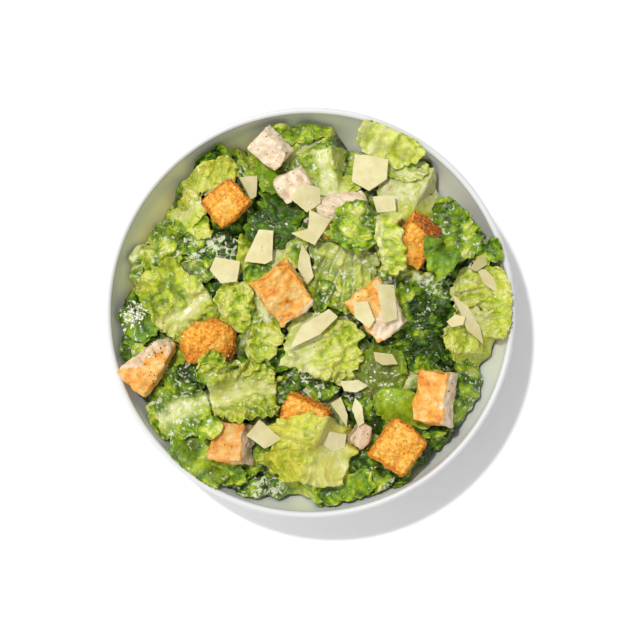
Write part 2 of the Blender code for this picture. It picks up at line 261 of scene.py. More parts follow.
def finish_piece(piece, material, node=None):
    """Gives a piece its material in its one slot, hides the CAD node it stands for, and hangs it on the root
    body.
    """
    piece.data.materials.clear()
    piece.data.materials.append(material)
    if node:
        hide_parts(node)
    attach(piece, "root")


# ------------------------------------------------------------------ materials


class Shader:
    """A Principled material and short ways to add nodes to it."""

    def __init__(self, name, roughness=0.5, scatter=None, **constants):
        """scatter is how far red, green and blue light go under the surface, in millimetres."""
        self.material = bpy.data.materials.new(name)
        self.material.use_nodes = True
        self.tree = self.material.node_tree
        self.surface = self.tree.nodes["Principled BSDF"]
        constants["Roughness"] = roughness
        if scatter:
            constants.update(Subsurface_Radius=scatter, Subsurface_Scale=MM)
        for socket, value in constants.items():
            self.surface.inputs[socket.replace("_", " ")].default_value = value

    def node(self, kind, settings=None, **links):
        made = self.tree.nodes.new("ShaderNode" + kind)
        for setting, value in (settings or {}).items():
            setattr(made, setting, value)
        for socket, value in links.items():
            self.plug(made.inputs[socket.replace("_", " ")], value)
        return made

    def plug(self, socket, value):
        if isinstance(value, bpy.types.NodeSocket):
            self.tree.links.new(value, socket)
        elif socket.type == "RGBA":
            socket.default_value = (*value, 1)
        else:
            socket.default_value = value

    def look(self):
        """The four numbers that the mesh carries at each point."""
        attribute = self.node("Attribute", {"attribute_name": "look"})
        split = self.node("SeparateColor", Color=attribute.outputs["Color"])
        return (*split.outputs[:3], attribute.outputs["Alpha"])

    def number(self, name):
        return self.node("Attribute", {"attribute_name": name}).outputs["Fac"]

    def place(self):
        return self.node("TexCoord").outputs["Object"]

    def noise(self, size, detail=2.0, roughness=0.5, stretch=None):
        """Noise from 0 to 1 with lumps about as large as size, in metres."""
        where = self.place()
        if stretch:
            where = self.node("Mapping", Vector=where, Scale=stretch).outputs["Vector"]
        made = self.node("TexNoise", Vector=where, Scale=1 / size, Detail=detail, Roughness=roughness)
        return made.outputs["Fac"]

    def patches(self, size, detail, *limits, roughness=0.5):
        """Noise with its contrast raised, by the limits that span takes."""
        return self.span(self.noise(size, detail, roughness), *limits)

    def billow(self, size, detail):
        """Rounded lumps with sharp valleys at 0 between them."""
        return self.math("ABSOLUTE", self.math("MULTIPLY_ADD", self.noise(size, detail), 2.0, -1.0))

    def dots(self, size, inner, outer):
        """Round spots at 1, one for each cell of that size, fading out between two radii."""
        made = self.node("TexVoronoi", {"feature": "F1"}, Vector=self.place(), Scale=1 / size)
        return self.span(made.outputs["Distance"], inner, outer, 1.0, 0.0)

    def math(self, operation, *values, clamp=False):
        made = self.node("Math", {"operation": operation, "use_clamp": clamp})
        for socket, value in zip(made.inputs, values):
            self.plug(socket, value)
        return made.outputs["Value"]

    def times(self, first, second):
        return self.math("MULTIPLY", first, second)

    def plus(self, first, second, clamp=False):
        return self.math("ADD", first, second, clamp=clamp)

    def span(self, value, low, high, to_low=0.0, to_high=1.0):
        """value from low..high as to_low..to_high, held at both ends."""
        made = self.node("MapRange", {"interpolation_type": "SMOOTHSTEP"}, Value=value)
        for socket, number in zip(made.inputs[1:5], (low, high, to_low, to_high)):
            socket.default_value = number
        return made.outputs["Result"]

    def ramp(self, value, stops):
        made = self.node("ValToRGB", Fac=value)
        points = made.color_ramp.elements
        while len(points) < len(stops):
            points.new(0.5)
        for point, (position, colour) in zip(points, stops):
            point.position = position
            point.color = (*colour, 1)
        return made.outputs["Color"]

    def mix(self, share, first, second):
        made = self.node("Mix", {"data_type": "RGBA"})
        self.plug(made.inputs["Factor"], share)
        for socket, colour in zip(made.inputs[6:8], (first, second)):
            self.plug(socket, colour)
        return made.outputs[2]

    def finish(self, colour, roughness=None, bumps=()):
        """Colour, roughness and bumps, each bump a (height, depth in metres) pair from coarse to fine."""
        self.plug(self.surface.inputs["Base Color"], colour)
        if roughness is not None:
            self.plug(self.surface.inputs["Roughness"], roughness)
        normal = None
        for height, depth in bumps:
            bump = self.node("Bump", Height=height, Distance=depth)
            if normal:
                self.plug(bump.inputs["Normal"], normal)
            normal = bump.outputs["Normal"]
        if normal:
            self.plug(self.surface.inputs["Normal"], normal)
        return self.material


def glaze_material():
    """White glaze. look holds a greenish-brown film on the wall, which is painted light bounced from the
    leaves together with oily dressing, where it is browner, and the lip, which is painted greyer as shade.
    """
    shader = Shader("white_glaze", 0.3, Specular_IOR_Level=0.3)
    film, warmth, lip, _ = shader.look()
    clean = shader.mix(shader.noise(30 * MM, 2), (0.935, 0.935, 0.935), (0.955, 0.955, 0.955))
    # Painted shade: the lip is greyer than the rest of the glaze, against the light on its top.
    clean = shader.mix(lip, clean, (0.72, 0.725, 0.73))
    # Painted bounce light from the leaves, greenish to browner, mixed with a film of oily dressing.
    painted_bounce_and_oil = shader.mix(warmth, (0.84, 0.89, 0.46), (0.97, 0.86, 0.42))
    streaks = shader.patches(16 * MM, 3, 0.3, 0.65, 0.8, 1.0)
    colour = shader.mix(shader.times(film, streaks), clean, painted_bounce_and_oil)
    return shader.finish(colour, shader.patches(24 * MM, 1, 0.3, 0.7, 0.28, 0.31))


def leaf_material():
    """Romaine: look holds paleness of rib and veins, tone from dark to light with painted light and shade in
    it, warmth and dressing.
    """
    shader = Shader("romaine_leaf", 0.36, (0.9, 1.3, 0.35), Subsurface_Weight=0.15, Specular_IOR_Level=0.2,
                    Coat_Weight=0.1, Coat_Roughness=0.15)
    pale, tone, warm, dressing = shader.look()
    savoy = shader.number("savoy")
    cloud = shader.noise(2.8 * MM, 4, 0.6)
    blisters = shader.billow(4.4 * MM, 1)
    pimples = shader.billow(1.9 * MM, 1)
    blade = shader.math("SUBTRACT", 1.0, pale, clamp=True)
    toned = shader.plus(tone, shader.span(cloud, 0.3, 0.7, -0.14, 0.06))
    # Painted shade: the tone is darker in the valleys between blisters and pimples and a little lighter on
    # their tops.
    coarse = shader.span(blisters, 0.0, 0.30, -0.20, 0.07)
    painted_hollow_shade = shader.plus(coarse, shader.span(pimples, 0.0, 0.3, -0.08, 0.04))
    blistered = shader.times(blade, savoy)
    toned = shader.plus(toned, shader.times(painted_hollow_shade, blistered), clamp=True)
    green = shader.ramp(toned, [
        (0.0, (0.014, 0.040, 0.002)),
        (0.22, (0.046, 0.118, 0.005)),
        (0.45, (0.156, 0.294, 0.009)),
        (0.68, (0.352, 0.484, 0.017)),
        (0.86, (0.568, 0.636, 0.063)),
        (1.0, (0.700, 0.710, 0.260)),
    ])
    golden = shader.mix(shader.times(warm, 0.75), green, (0.66, 0.58, 0.06))
    rib = shader.mix(shader.patches(4 * MM, 3, 0.35, 0.65), (0.50, 0.56, 0.13), (0.76, 0.76, 0.41))
    rib = shader.mix(shader.times(warm, 0.9), rib, (0.58, 0.53, 0.10))
    body = shader.mix(shader.math("MINIMUM", pale, 1.0), golden, rib)
    smear = shader.noise(3.0 * MM, 3, 0.62)
    pooled = shader.plus(smear, shader.span(blisters, 0.0, 0.26, 0.09, -0.05))
    lack = shader.times(shader.math("SUBTRACT", dressing, 1.0), 0.24)
    film = shader.span(shader.plus(pooled, lack), 0.46, 0.58)
    coated = shader.mix(shader.times(film, 0.78), body, (0.82, 0.85, 0.59))
    fine = shader.noise(0.9 * MM, 3)
    height = shader.times(blisters, shader.span(blistered, 0.0, 1.0, 0.12, 1.0))
    pimpled = shader.times(pimples, savoy)
    gloss = shader.span(film, 0, 1, 0.36, 0.22)
    return shader.finish(
        coated, gloss, [(height, 2.4 * MM), (pimpled, 0.5 * MM), (fine, 0.10 * MM), (film, 0.20 * MM)])


def core_material():
    shader = Shader("romaine_shade", 0.6, Specular_IOR_Level=0.3)
    folds = shader.billow(7 * MM, 2)
    colour = shader.mix(shader.span(folds, 0.0, 0.35), (0.006, 0.022, 0.003), (0.05, 0.14, 0.018))
    return shader.finish(colour, bumps=[(folds, 3.0 * MM), (shader.noise(2 * MM, 3), 0.8 * MM)])


def crouton_material():
    """look holds toasting, with the sides and underside painted darker as shade, pits, which are painted
    darker as shade, and a darker side, which is partly toasting and partly painted shade.
    """
    shader = Shader("toasted_crumb", 0.62, (1.5, 0.6, 0.2), Subsurface_Weight=0.08, Specular_IOR_Level=0.25)
    toast, pit_shade, deep, _ = shader.look()
    value = shader.plus(toast, shader.patches(1.5 * MM, 4, 0.32, 0.68, -0.34, 0.34, roughness=0.7))
    value = shader.plus(value, shader.times(deep, 0.30), clamp=True)
    crust = shader.ramp(value, [
        (0.0, (0.90, 0.58, 0.14)),
        (0.3, (0.88, 0.42, 0.045)),
        (0.6, (0.76, 0.27, 0.018)),
        (0.85, (0.48, 0.125, 0.014)),
        (1.0, (0.24, 0.055, 0.010)),
    ])
    # Painted shade: the pits are darker.
    crust = shader.mix(shader.times(pit_shade, 0.4), crust, (0.46, 0.15, 0.025))
    flecks = shader.dots(1.5 * MM, 0.13, 0.22)
    sparse = shader.patches(1.9 * MM, 1, 0.52, 0.60)
    crust = shader.mix(shader.times(flecks, sparse), crust, (0.16, 0.06, 0.02))
    grain = shader.noise(0.8 * MM, 4, 0.7)
    return shader.finish(crust, 0.62, [(shader.noise(1.9 * MM, 3), 0.7 * MM), (grain, 0.34 * MM)])


def chicken_material():
    """look holds searing, browned edge, and painted shade that darkens the meat, more in its fibre grooves.
    """
    shader = Shader("roast_meat", 0.44, (1.6, 0.8, 0.45), Subsurface_Weight=0.15, Specular_IOR_Level=0.35,
                    Coat_Weight=0.12, Coat_Roughness=0.3)
    sear, edge, shade, _ = shader.look()
    pores = shader.patches(4.5 * MM, 4, 0.3, 0.7, roughness=0.6)
    meat = shader.mix(pores, (0.81, 0.64, 0.42), (0.88, 0.76, 0.57))
    # Painted shade: shade darkens the meat here and the browned crust further on.
    meat = shader.mix(shade, meat, (0.70, 0.50, 0.31))
    brown = shader.ramp(shader.patches(6.5 * MM, 5, 0.36, 0.72, roughness=0.62), [
        (0.0, (0.87, 0.57, 0.19)),
        (0.35, (0.86, 0.41, 0.065)),
        (0.75, (0.78, 0.29, 0.028)),
        (1.0, (0.50, 0.14, 0.020)),
    ])
    edged = shader.plus(sear, shader.patches(2.2 * MM, 4, 0.3, 0.7, -0.22, 0.22), clamp=True)
    body = shader.mix(shader.span(edged, 0.25, 0.75), meat, brown)
    body = shader.mix(shader.times(edge, 0.3), body, (0.60, 0.26, 0.07))
    body = shader.mix(shader.times(shade, 0.5), body, (0.34, 0.14, 0.03))
    dots = shader.dots(1.3 * MM, 0.12, 0.24)
    spiced = shader.times(dots, shader.patches(4.0 * MM, 3, 0.50, 0.62))
    body = shader.mix(shader.times(spiced, 0.75), body, (0.24, 0.09, 0.03))
    grain = shader.noise(1.0 * MM, 4, 0.6)
    gloss = shader.span(edged, 0.2, 0.8, 0.5, 0.34)
    return shader.finish(body, gloss, [(shader.noise(2.6 * MM, 3), 0.55 * MM), (grain, 0.26 * MM)])


def cheese_material():
    """look holds how dusky a shaving is, which is painted shade, and its cut edge."""
    shader = Shader("hard_cheese", 0.42, (1.8, 1.4, 0.7), Subsurface_Weight=0.2, Specular_IOR_Level=0.3)
    shade, rind, _, _ = shader.look()
    cloud = shader.patches(7 * MM, 4, 0.3, 0.7, roughness=0.6)
    body = shader.mix(cloud, (0.66, 0.58, 0.28), (0.73, 0.67, 0.385))
    # Painted shade on the dusky shavings.
    body = shader.mix(shade, body, (0.52, 0.45, 0.19))
    body = shader.mix(shader.times(rind, 0.5), body, (0.76, 0.70, 0.46))
    streak = shader.noise(1.1 * MM, 3, 0.6, stretch=(1.0, 0.28, 1.0))
    return shader.finish(body, 0.42, [(streak, 0.10 * MM), (shader.noise(0.5 * MM, 2), 0.05 * MM)])


def speck_material(shader, size, detail, first, second):
    """A material clouded with two colours, for crumbs and drops."""
    return shader.finish(shader.mix(shader.noise(size, detail), first, second))


def cream_material():
    shader = Shader("dressing", 0.22, (1.2, 1.1, 0.8), Subsurface_Weight=0.3, Coat_Weight=0.3,
                    Coat_Roughness=0.12)
    return speck_material(shader, 2 * MM, 3, (0.78, 0.79, 0.70), (0.86, 0.86, 0.80))


def crumb_material():
    shader = Shader("cheese_crumb", 0.5, Subsurface_Weight=0.2, Subsurface_Scale=MM)
    return speck_material(shader, 1.5 * MM, 2, (0.84, 0.79, 0.58), (0.90, 0.88, 0.76))


def toast_crumb_material():
    return speck_material(Shader("bread_crumb", 0.6), 1.2 * MM, 2, (0.78, 0.36, 0.08), (0.86, 0.55, 0.20))


def pepper_material():
    return speck_material(Shader("pepper", 0.55), 0.4 * MM, 2, (0.03, 0.018, 0.01), (0.14, 0.075, 0.035))


# ------------------------------------------------------------------ bowl

RIM_RADIUS, _, RIM_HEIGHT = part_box("bowl")[1]
LIP = 3.4 * MM  # thickness of the wall at the rim
BODY = 4.4 * MM  # and at its foot
FLOOR_RADIUS = 38 * MM
FLOOR_HEIGHT = 6.6 * MM
FOOT_RADIUS = 46 * MM
FLOOR_RINGS = (12, 24, 32)  # mm
WALL_SWEEP = math.radians(78)
WALL_STEPS = 40
OUTSIDE_STEPS = 30  # from the rim down to the foot
TURN_STEPS = 180
# The section's last points, from the wall round the foot to the underside: how far out from FOOT_RADIUS
# and how high, in mm.
FOOT = ((1.3, 2.2), (0.5, 0.8), (0, 0.2), (-0.6, 0), (-4.6, 0), (-5.2, 0.3), (-5.8, 2.2), (-26, 2.6))


def wall_point(share):
    """(radius, height) on the bowl's inside, from the floor's edge at 0 to the rim at 1."""
    sweep = WALL_SWEEP * share
    radius = FLOOR_RADIUS + (RIM_RADIUS - LIP - FLOOR_RADIUS) * math.sin(sweep) / math.sin(WALL_SWEEP)
    climb = (1 - math.cos(sweep)) / (1 - math.cos(WALL_SWEEP))
    return radius, FLOOR_HEIGHT + (RIM_HEIGHT - LIP / 2 - FLOOR_HEIGHT) * climb


WALL = np.array([wall_point(step / WALL_STEPS) for step in range(WALL_STEPS + 1)])


def wall_radius(height):
    """Inner radius of the bowl at a height."""
    return np.interp(height, WALL[:, 1], WALL[:, 0])


def wall_height(radius):
    return np.interp(radius, np.r_[0, WALL[:, 0]], np.r_[FLOOR_HEIGHT, WALL[:, 1]])


def bowl_outline():
    """The bowl's section in radius and height, from inside the floor round to the underside."""
    half = LIP / 2
    middle, level = RIM_RADIUS - half, RIM_HEIGHT - half
    turns = np.linspace(0, math.pi, 13)[1:-1]
    lip = [(middle - half * math.cos(turn), level + half * math.sin(turn)) for turn in turns]
    outside = [(RIM_RADIUS, level)]
    for step in range(WALL_STEPS - 1, WALL_STEPS - OUTSIDE_STEPS - 1, -1):
        share = step / WALL_STEPS
        (r0, z0), (r1, z1) = wall_point(share - 0.001), wall_point(share + 0.001)
        length = math.hypot(r1 - r0, z1 - z0)
        thick = LIP + (BODY - LIP) * (1 - share)
        radius, height = wall_point(share)
        outside.append((radius + thick * (z1 - z0) / length, height - thick * (r1 - r0) / length))
    foot = [(FOOT_RADIUS + out * MM, height * MM) for out, height in FOOT]
    floor = [(radius * MM, FLOOR_HEIGHT) for radius in FLOOR_RINGS]
    return floor + [tuple(point) for point in WALL] + lip + outside + foot


def make_bowl():
    outline = np.array(bowl_outline())
    turns = np.linspace(0, math.tau, TURN_STEPS, endpoint=False)
    rings = len(outline)
    ring_points = np.zeros((TURN_STEPS, rings, 3))
    ring_points[..., 0] = outline[:, 0] * np.cos(turns)[:, None]
    ring_points[..., 1] = outline[:, 0] * np.sin(turns)[:, None]
    ring_points[..., 2] = outline[:, 1]
    index = np.arange(TURN_STEPS * rings).reshape(TURN_STEPS, rings)
    index = np.vstack([index, index[:1]])
    middle, under = TURN_STEPS * rings, TURN_STEPS * rings + 1
    points = np.vstack([ring_points.reshape(-1, 3), [(0, 0, outline[0, 1]), (0, 0, outline[-1, 1])]])
    # The film is painted light bounced from the leaves, together with oily dressing: it lies low on the wall,
    # on the far-left side that the sun leaves in shade, and is browner towards the upper left.
    fresh = smoothstep(38 * MM, 54 * MM, points[:, 2])
    turned = np.arctan2(points[:, 1], points[:, 0])
    shaded_far_left = smoothstep(-0.3, 0.8, np.cos(turned - math.radians(160)))
    inner = np.r_[np.tile(np.arange(rings) < len(FLOOR_RINGS) + len(WALL), TURN_STEPS), True, False]
    film = inner * (1 - fresh) * 0.90 * shaded_far_left
    browner = smoothstep(0.2, 1.0, np.cos(turned - math.radians(132)))
    # The lip's share paints it greyer, as shade.
    lip = smoothstep(RIM_HEIGHT - 2.6 * MM, RIM_HEIGHT - 1.2 * MM, points[:, 2])
    bowl = new_object("bowl_glazed", points, quads(index), look_of(film, browner, lip))
    with edited(bowl.data) as shape:
        corners = shape.verts
        for here, there in zip(index, index[1:]):
            shape.faces.new((corners[middle], corners[here[0]], corners[there[0]])).smooth = True
            shape.faces.new((corners[under], corners[there[-1]], corners[here[-1]])).smooth = True
        bmesh.ops.recalc_face_normals(shape, faces=shape.faces)
    finish_piece(bowl, glaze_material(), "bowl")


# ------------------------------------------------------------------ the heap's levels

HEAP_REACH = 99.3 * MM
CROWN = 66 * MM
SHOULDER = 56 * MM
CORE_DEPTH = 10 * MM
# Where the lettuce stops short of the wall: direction and half width in degrees, depth in mm.
EDGE_GAPS = (
    (37, 13, 8), (75, 8, 14), (110, 8, 7), (145, 17, 6.5), (170, 6, 5),
    (-93, 7, 4), (-48, 10, 2), (-18, 12, 5), (-128, 28, -3), (-76, 22, -3.5),
)

map_x, map_y = np.meshgrid(*[np.linspace(-MAP_HALF, MAP_HALF, MAP_SIDE)] * 2, indexing="ij")
map_radius = np.hypot(map_x, map_y)


def plain_dome(radius):
    return CROWN - (CROWN - SHOULDER) * (np.minimum(radius, HEAP_REACH) / HEAP_REACH) ** 2


def reach(x, y):
    """How far from the middle the lettuce goes in the direction of each point."""
    turn = np.degrees(np.arctan2(y, x))
    uneven = fractal(np.stack([np.cos(turn / 57.3), np.sin(turn / 57.3), turn * 0], -1), 0.07, 2, 91)
    edge = HEAP_REACH + 0.2 * MM + 2.4 * MM * uneven
    for direction, half, depth in EDGE_GAPS:
        away = np.abs((turn - direction + 180) % 360 - 180) / half
        edge -= depth * MM * np.clip(1 - away * away, 0, 1)
    return edge


def cast_map(node, start, direction, missing):
    """The height at which a vertical ray through each map cell first meets a CAD node."""
    field = np.full((MAP_SIDE, MAP_SIDE), missing)
    low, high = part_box(node)
    tree = tree_of([NODES[node]])
    inside = (map_x >= low.x) & (map_x <= high.x) & (map_y >= low.y) & (map_y <= high.y)
    for i, j in np.argwhere(inside):
        hit = tree.ray_cast(Vector((map_x[i, j], map_y[i, j], start)), Vector((0, 0, direction)))[0]
        if hit:
            field[i, j] = hit.z
    return field


def tree_of(objects):
    points, polygons = [], []
    for piece in objects:
        first = len(points)
        points.extend(vertex.co.copy() for vertex in piece.data.vertices)
        polygons.extend([first + corner for corner in polygon.vertices] for polygon in piece.data.polygons)
    return BVHTree.FromPolygons(points, polygons)


TOPPING_NAMES = [name for name in NODES if name not in ("bowl", "romaine_heap")]
HIGH, LOW = 0.2, -0.1
wall_map = wall_height(map_radius)
wall_map[map_radius > RIM_RADIUS - LIP] = RIM_HEIGHT

GENTLE, STEEP = 0.9, 3.0  # slopes at which the room over the leaves grows away from a topping
CEILING_GAP = 0.5 * MM


def sloped_ceiling(field, slope, rounds=16):
    """A ceiling that rises away from the toppings no faster than slope."""
    rise = slope * CELL
    for _ in range(rounds):
        straight = np.minimum.reduce(neighbours(field, BESIDE)) + rise
        slant = np.minimum.reduce(neighbours(field, ASKEW)) + rise * 1.414
        field = np.minimum.reduce([field, straight, slant])
    return field


topping_top = {name: cast_map(name, HIGH, -1, LOW) for name in TOPPING_NAMES}
topping_under = {name: cast_map(name, LOW, 1, HIGH) for name in TOPPING_NAMES}


def ceiling_below(names, slope):
    """How high a leaf may reach under these toppings."""
    return sloped_ceiling(np.minimum.reduce([topping_under[name] for name in names]), slope) - CEILING_GAP


ceiling = ceiling_below(TOPPING_NAMES, GENTLE)

# ------------------------------------------------------------------ leaves


@dataclass
class Leaf:
    """One torn piece of romaine. Sizes are in millimetres and turns in degrees.

    A cup, arch or twist of 0 stands for a random one, up to CURL.
    """

    x: float  # its middle, seen from above
    y: float
    length: float  # along the rib
    width: float  # across it
    yaw: float  # the way its tip points, from +X
    tone: float = 0.4  # dark green 0 to pale yellow-green 1
    wet: float = 0.35  # how much white dressing
    warm: float = 0.0  # how golden
    rib: float = None  # where the midrib runs, from the left margin -1 to the right one 1
    rib_width: float = 6.0  # at the middle of the leaf
    base: float = 0.0  # how pale the base end is
    frill: str = "lrt"  # natural margins: left, right, tip, base; the others are cut
    ruffle: float = 2.1  # height of the waves along those margins
    cup: float = 0.0  # bend across: margins up if positive
    arch: float = 0.0  # bend along: ends up if positive
    twist: float = 0.0  # tip turned against base
    roll: float = 0.0  # right margin down if positive
    pitch: float = 0.0  # tip up if positive
    round: float = 0.75  # 0 for square corners, 1 for an oval
    taper: float = 0.0  # wider tip if positive
    quilt: float = 0.85  # height of the bulges between the veins
    savoy: float = 0.55  # how blistered, from smooth 0 to kale-like 1
    slant: float = 0.7  # how steeply the side veins leave the rib
    veined: float = 1.0  # how pale the side veins are
    lift: float = 0.0  # how far it stands off what is below
    over: tuple = ()  # the toppings that it lies on
    rim: float = 0.0  # how far from the bowl's middle it reaches, if it lies on the rim


# In millimetres and degrees, as in Leaf.
LEAF_PITCH = 0.72
FILLER_PITCH = 1.7
BLADE = 0.45
CURL = 32
VEIN_SPACING = 4.9
VEIN_WIDTH = 0.5


def edge_share(leaf, s, t):
    """0 inside the leaf to 1 at its natural margins."""
    share = np.zeros(s.shape)
    for side, value in (("l", -s), ("r", s), ("t", t), ("b", -t)):
        if side in leaf.frill:
            share = np.maximum(share, smoothstep(0.3, 1.0, value))
    return share


def bent(along, height, total, span):
    """Rolls a direction into an arc of that many degrees over its span, with height kept across it."""
    if abs(total) < 1:
        return along, height
    curve = math.radians(total) / span
    turn = along * curve
    return (1 / curve - height) * np.sin(turn), (1 - np.cos(turn)) / curve + height * np.cos(turn)


def leaf_surface(leaf, seed, pitch):
    """(grid of points in metres, grid of looks, grid of thicknesses) of one leaf before it is laid down."""
    length, width = leaf.length, leaf.width
    rows, columns = max(int(length / pitch), 9), max(int(width / pitch), 7)
    t, s = np.meshgrid(np.linspace(-1, 1, rows), np.linspace(-1, 1, columns), indexing="ij")

    def flat(x, y, size, octaves, step):
        """This leaf's own noise, with a step for each use."""
        place = np.stack([x, y, np.full(x.shape, seed * 17.3)], axis=-1)
        return fractal(place, size, octaves, seed + step)

    # its outline: x across and y along the rib
    a = s * np.sqrt(1 - leaf.round * t * t / 2)
    b = t * np.sqrt(1 - leaf.round * s * s / 2)
    edge = edge_share(leaf, s, t)
    out = np.maximum(np.abs(s), np.abs(t)) ** 3
    lobes = 1 + out * (0.13 * flat(a * 2, b * 2, 1.1, 2, 1) + 0.05 * flat(a * 2, b * 2, 0.4, 2, 16))
    x = a * width / 2 * lobes * (1 + leaf.taper * t)
    y = b * length / 2 * lobes
    teeth = edge**4 * flat(x, y, 3.0, 2, 2) * 0.25
    x, y = x * (1 + teeth * 2 / width), y * (1 + teeth * 2 / length)
    x = x + 1.2 * flat(y * 0 + 3, y, 16, 1, 3)

    # the rib, and how far each point is from the nearest side vein
    rib_mask = np.zeros(x.shape)
    rib_x = 0.0
    if leaf.rib is not None:
        rib_x = leaf.rib * width / 2 + 2.0 * flat(y * 0, y, 14, 1, 4)
        half = leaf.rib_width / 2 * (1 - 0.35 * t) * (1 + 0.3 * flat(y * 0 + 5, y, 6, 2, 19))
        rib_mask = 1 - smoothstep(0.4 * half, 1.35 * half, np.abs(x - rib_x) + 0.9 * flat(x, y, 3.5, 2, 5))
    off = np.abs(x - rib_x)
    spacing = VEIN_SPACING * math.hypot(1, leaf.slant)
    course = (y - leaf.slant * off + 3.0 * flat(x, y, 9, 2, 6)) / spacing + seed * 0.37
    from_vein = np.abs(course - np.round(course)) * VEIN_SPACING
    near_rib = np.exp(-np.maximum(off - leaf.rib_width / 2, 0) / 5) * (leaf.rib is not None)
    vein = np.exp(-((from_vein / (VEIN_WIDTH * (1 + near_rib))) ** 2)) * (1 - rib_mask)
    bulge = 1 - np.abs(1 - 2 * from_vein / VEIN_SPACING) ** 2

    # its height: bulges between the veins, blisters, creases and waves along the margins
    blade = (1 - rib_mask) * min(leaf.quilt / 0.85, 1)
    quilt = leaf.quilt * (0.7 + edge)
    savoy = np.abs(flat(x, y, 4.2, 2, 7))
    crease = np.abs(flat(x, y, 9.0, 2, 17))
    z = blade * (quilt * (1.5 * bulge + 3.2 * leaf.savoy * savoy) + 3.4 * crease) - 0.3 * vein
    z += 1.3 * flat(x, y, 13, 1, 8)
    z += rib_mask * (0.7 + 0.10 * flat(x * 4, y * 0.4, 3, 2, 9))
    around = np.where(np.abs(s) * width > np.abs(t) * length, y, x)
    phase = 1.6 * flat(x, y, 8, 1, 10)
    waves = np.sin(math.tau * around / 11 + phase * 3) + 0.6 * np.sin(math.tau * around / 5.3 + phase * 5)
    z += leaf.ruffle * edge**1.4 * waves * (0.8 + 0.6 * flat(x, y, 10, 1, 11))
    sideways = edge**2 * flat(around, phase * 3, 4.5, 2, 18)
    x, y = x * (1 + sideways * 1.2 / width), y * (1 + sideways * 1.2 / length)

    # how it is bent and where it lies
    curl = np.random.default_rng(seed)
    cup, arch, twist = (value or curl.uniform(-CURL, CURL) for value in (leaf.cup, leaf.arch, leaf.twist))
    angle = np.radians(twist) * t / 2
    x, z = x * np.cos(angle) - z * np.sin(angle), x * np.sin(angle) + z * np.cos(angle)
    x, z = bent(x, z, cup, width)
    y, z = bent(y, z, arch, length)
    turns = ((leaf.yaw - 90, "Z"), (leaf.pitch, "X"), (leaf.roll, "Y"))
    yaw, pitch_up, roll = (Matrix.Rotation(math.radians(angle), 3, axis) for angle, axis in turns)
    points = np.stack([x, y, z], axis=-1) @ np.array(yaw @ pitch_up @ roll).T
    points += (leaf.x, leaf.y, 0)

    # its look
    pale = rib_mask * 0.95
    paleness = leaf.veined * (0.10 + 0.18 * leaf.tone + 0.5 * near_rib)
    pale = np.maximum(pale, vein * paleness * (1 - 0.4 * edge))
    pale = np.maximum(pale, leaf.base * smoothstep(0.5, -0.7, t + 0.25 * flat(x, y, 5, 2, 12)))
    # Painted light and shade: the tone is lighter at the natural margins and on ridges and bulges, and darker
    # in creases and blister hollows.
    tone = leaf.tone + 0.10 * flat(x, y, 9, 3, 13) + 0.08 * edge
    tone += blade * (0.48 * leaf.savoy * (savoy - 0.3) + 0.70 * (crease - 0.3) + 0.20 * (bulge - 0.6))
    warm = leaf.warm * np.clip(0.75 + 0.6 * flat(x, y, 8, 2, 14), 0, 1)
    hollow = np.clip(1 - 2 * savoy + 0.4 * vein, 0, 1)
    wet = leaf.wet * np.clip(0.62 + 0.6 * hollow + 0.45 * flat(x, y, 10, 2, 15), 0, 1.2)
    look = np.stack([pale, np.clip(tone, 0, 1), warm, np.clip(wet, 0, 1)], axis=-1)
    thick = BLADE + rib_mask * np.minimum(leaf.rib_width * 0.22, 2.0)
    return points * MM, look, thick * MM


# How much of a push reaches the next point of the grid, and in how many rounds.
DRAPE, TENT = (0.96, 40), (0.991, 160)


def spread(lift, stiffness):
    """Lets a push at one point carry its neighbours with it."""
    keep, rounds = stiffness
    for _ in range(rounds):
        lift = np.maximum(lift, sum(neighbours(lift, BESIDE)) / 4 * keep)
    return lift


def between(grid):
    """The grid with the points halfway between its own added."""
    rows = np.repeat(grid, 2, axis=0)[:-1]
    rows[1::2] = (grid[:-1] + grid[1:]) / 2
    full = np.repeat(rows, 2, axis=1)[:, :-1]
    full[:, 1::2] = (rows[:, :-1] + rows[:, 1:]) / 2
    return full


REST_SHARE = 30  # percent of a leaf that sinks to what is below before it is bent
LEAF_GAP = 0.55 * MM
EDGE_GIVE = 0.45  # how much of what is past the heap's edge stays past it


def lay_down(leaf, points, ground, stiffness=DRAPE):
    """Lowers a leaf onto the ground map, bends it over what is in the way, and adds it to the map."""
    if not leaf.rim:
        radius = np.hypot(points[..., 0], points[..., 1])
        edge = reach(points[..., 0], points[..., 1])
        held = np.where(radius > edge, edge + (radius - edge) * EDGE_GIVE, radius)
        points[..., :2] *= (held / np.maximum(radius, MM))[..., None]
    base = look_up(ground, points[..., 0], points[..., 1]) + LEAF_GAP
    points[..., 2] -= np.percentile(points[..., 2] - base, REST_SHARE)
    points[..., 2] += spread(np.maximum(base - points[..., 2], 0), stiffness) + leaf.lift * MM
    stamp(ground, between(points))
    return points


SQUEEZE = 5 * MM  # the depth into which leaves are pressed below a topping
EDGE_SQUEEZE = 4 * MM  # and the width into which they are pressed at the wall
EDGE_FALL = 1.5  # slope of the heap's edge
WALL_GAP = 0.9 * MM
HIGHEST_LEAF = 88.4 * MM


def press_under(points, cover, squeeze=SQUEEZE):
    """Squeezes what would stand higher than the cover into the last few millimetres below it."""
    above = np.maximum(points[..., 2] - (look_up(cover, points[..., 0], points[..., 1]) - squeeze), 0)
    points[..., 2] -= above - squeeze * (1 - np.exp(-above / squeeze))


def edge_ceiling():
    """How high the lettuce may stand where it falls away to meet the wall."""
    edge = reach(map_x, map_y)
    return wall_height(edge) + 1.6 * MM + EDGE_FALL * np.maximum(edge - map_radius, -4 * MM)


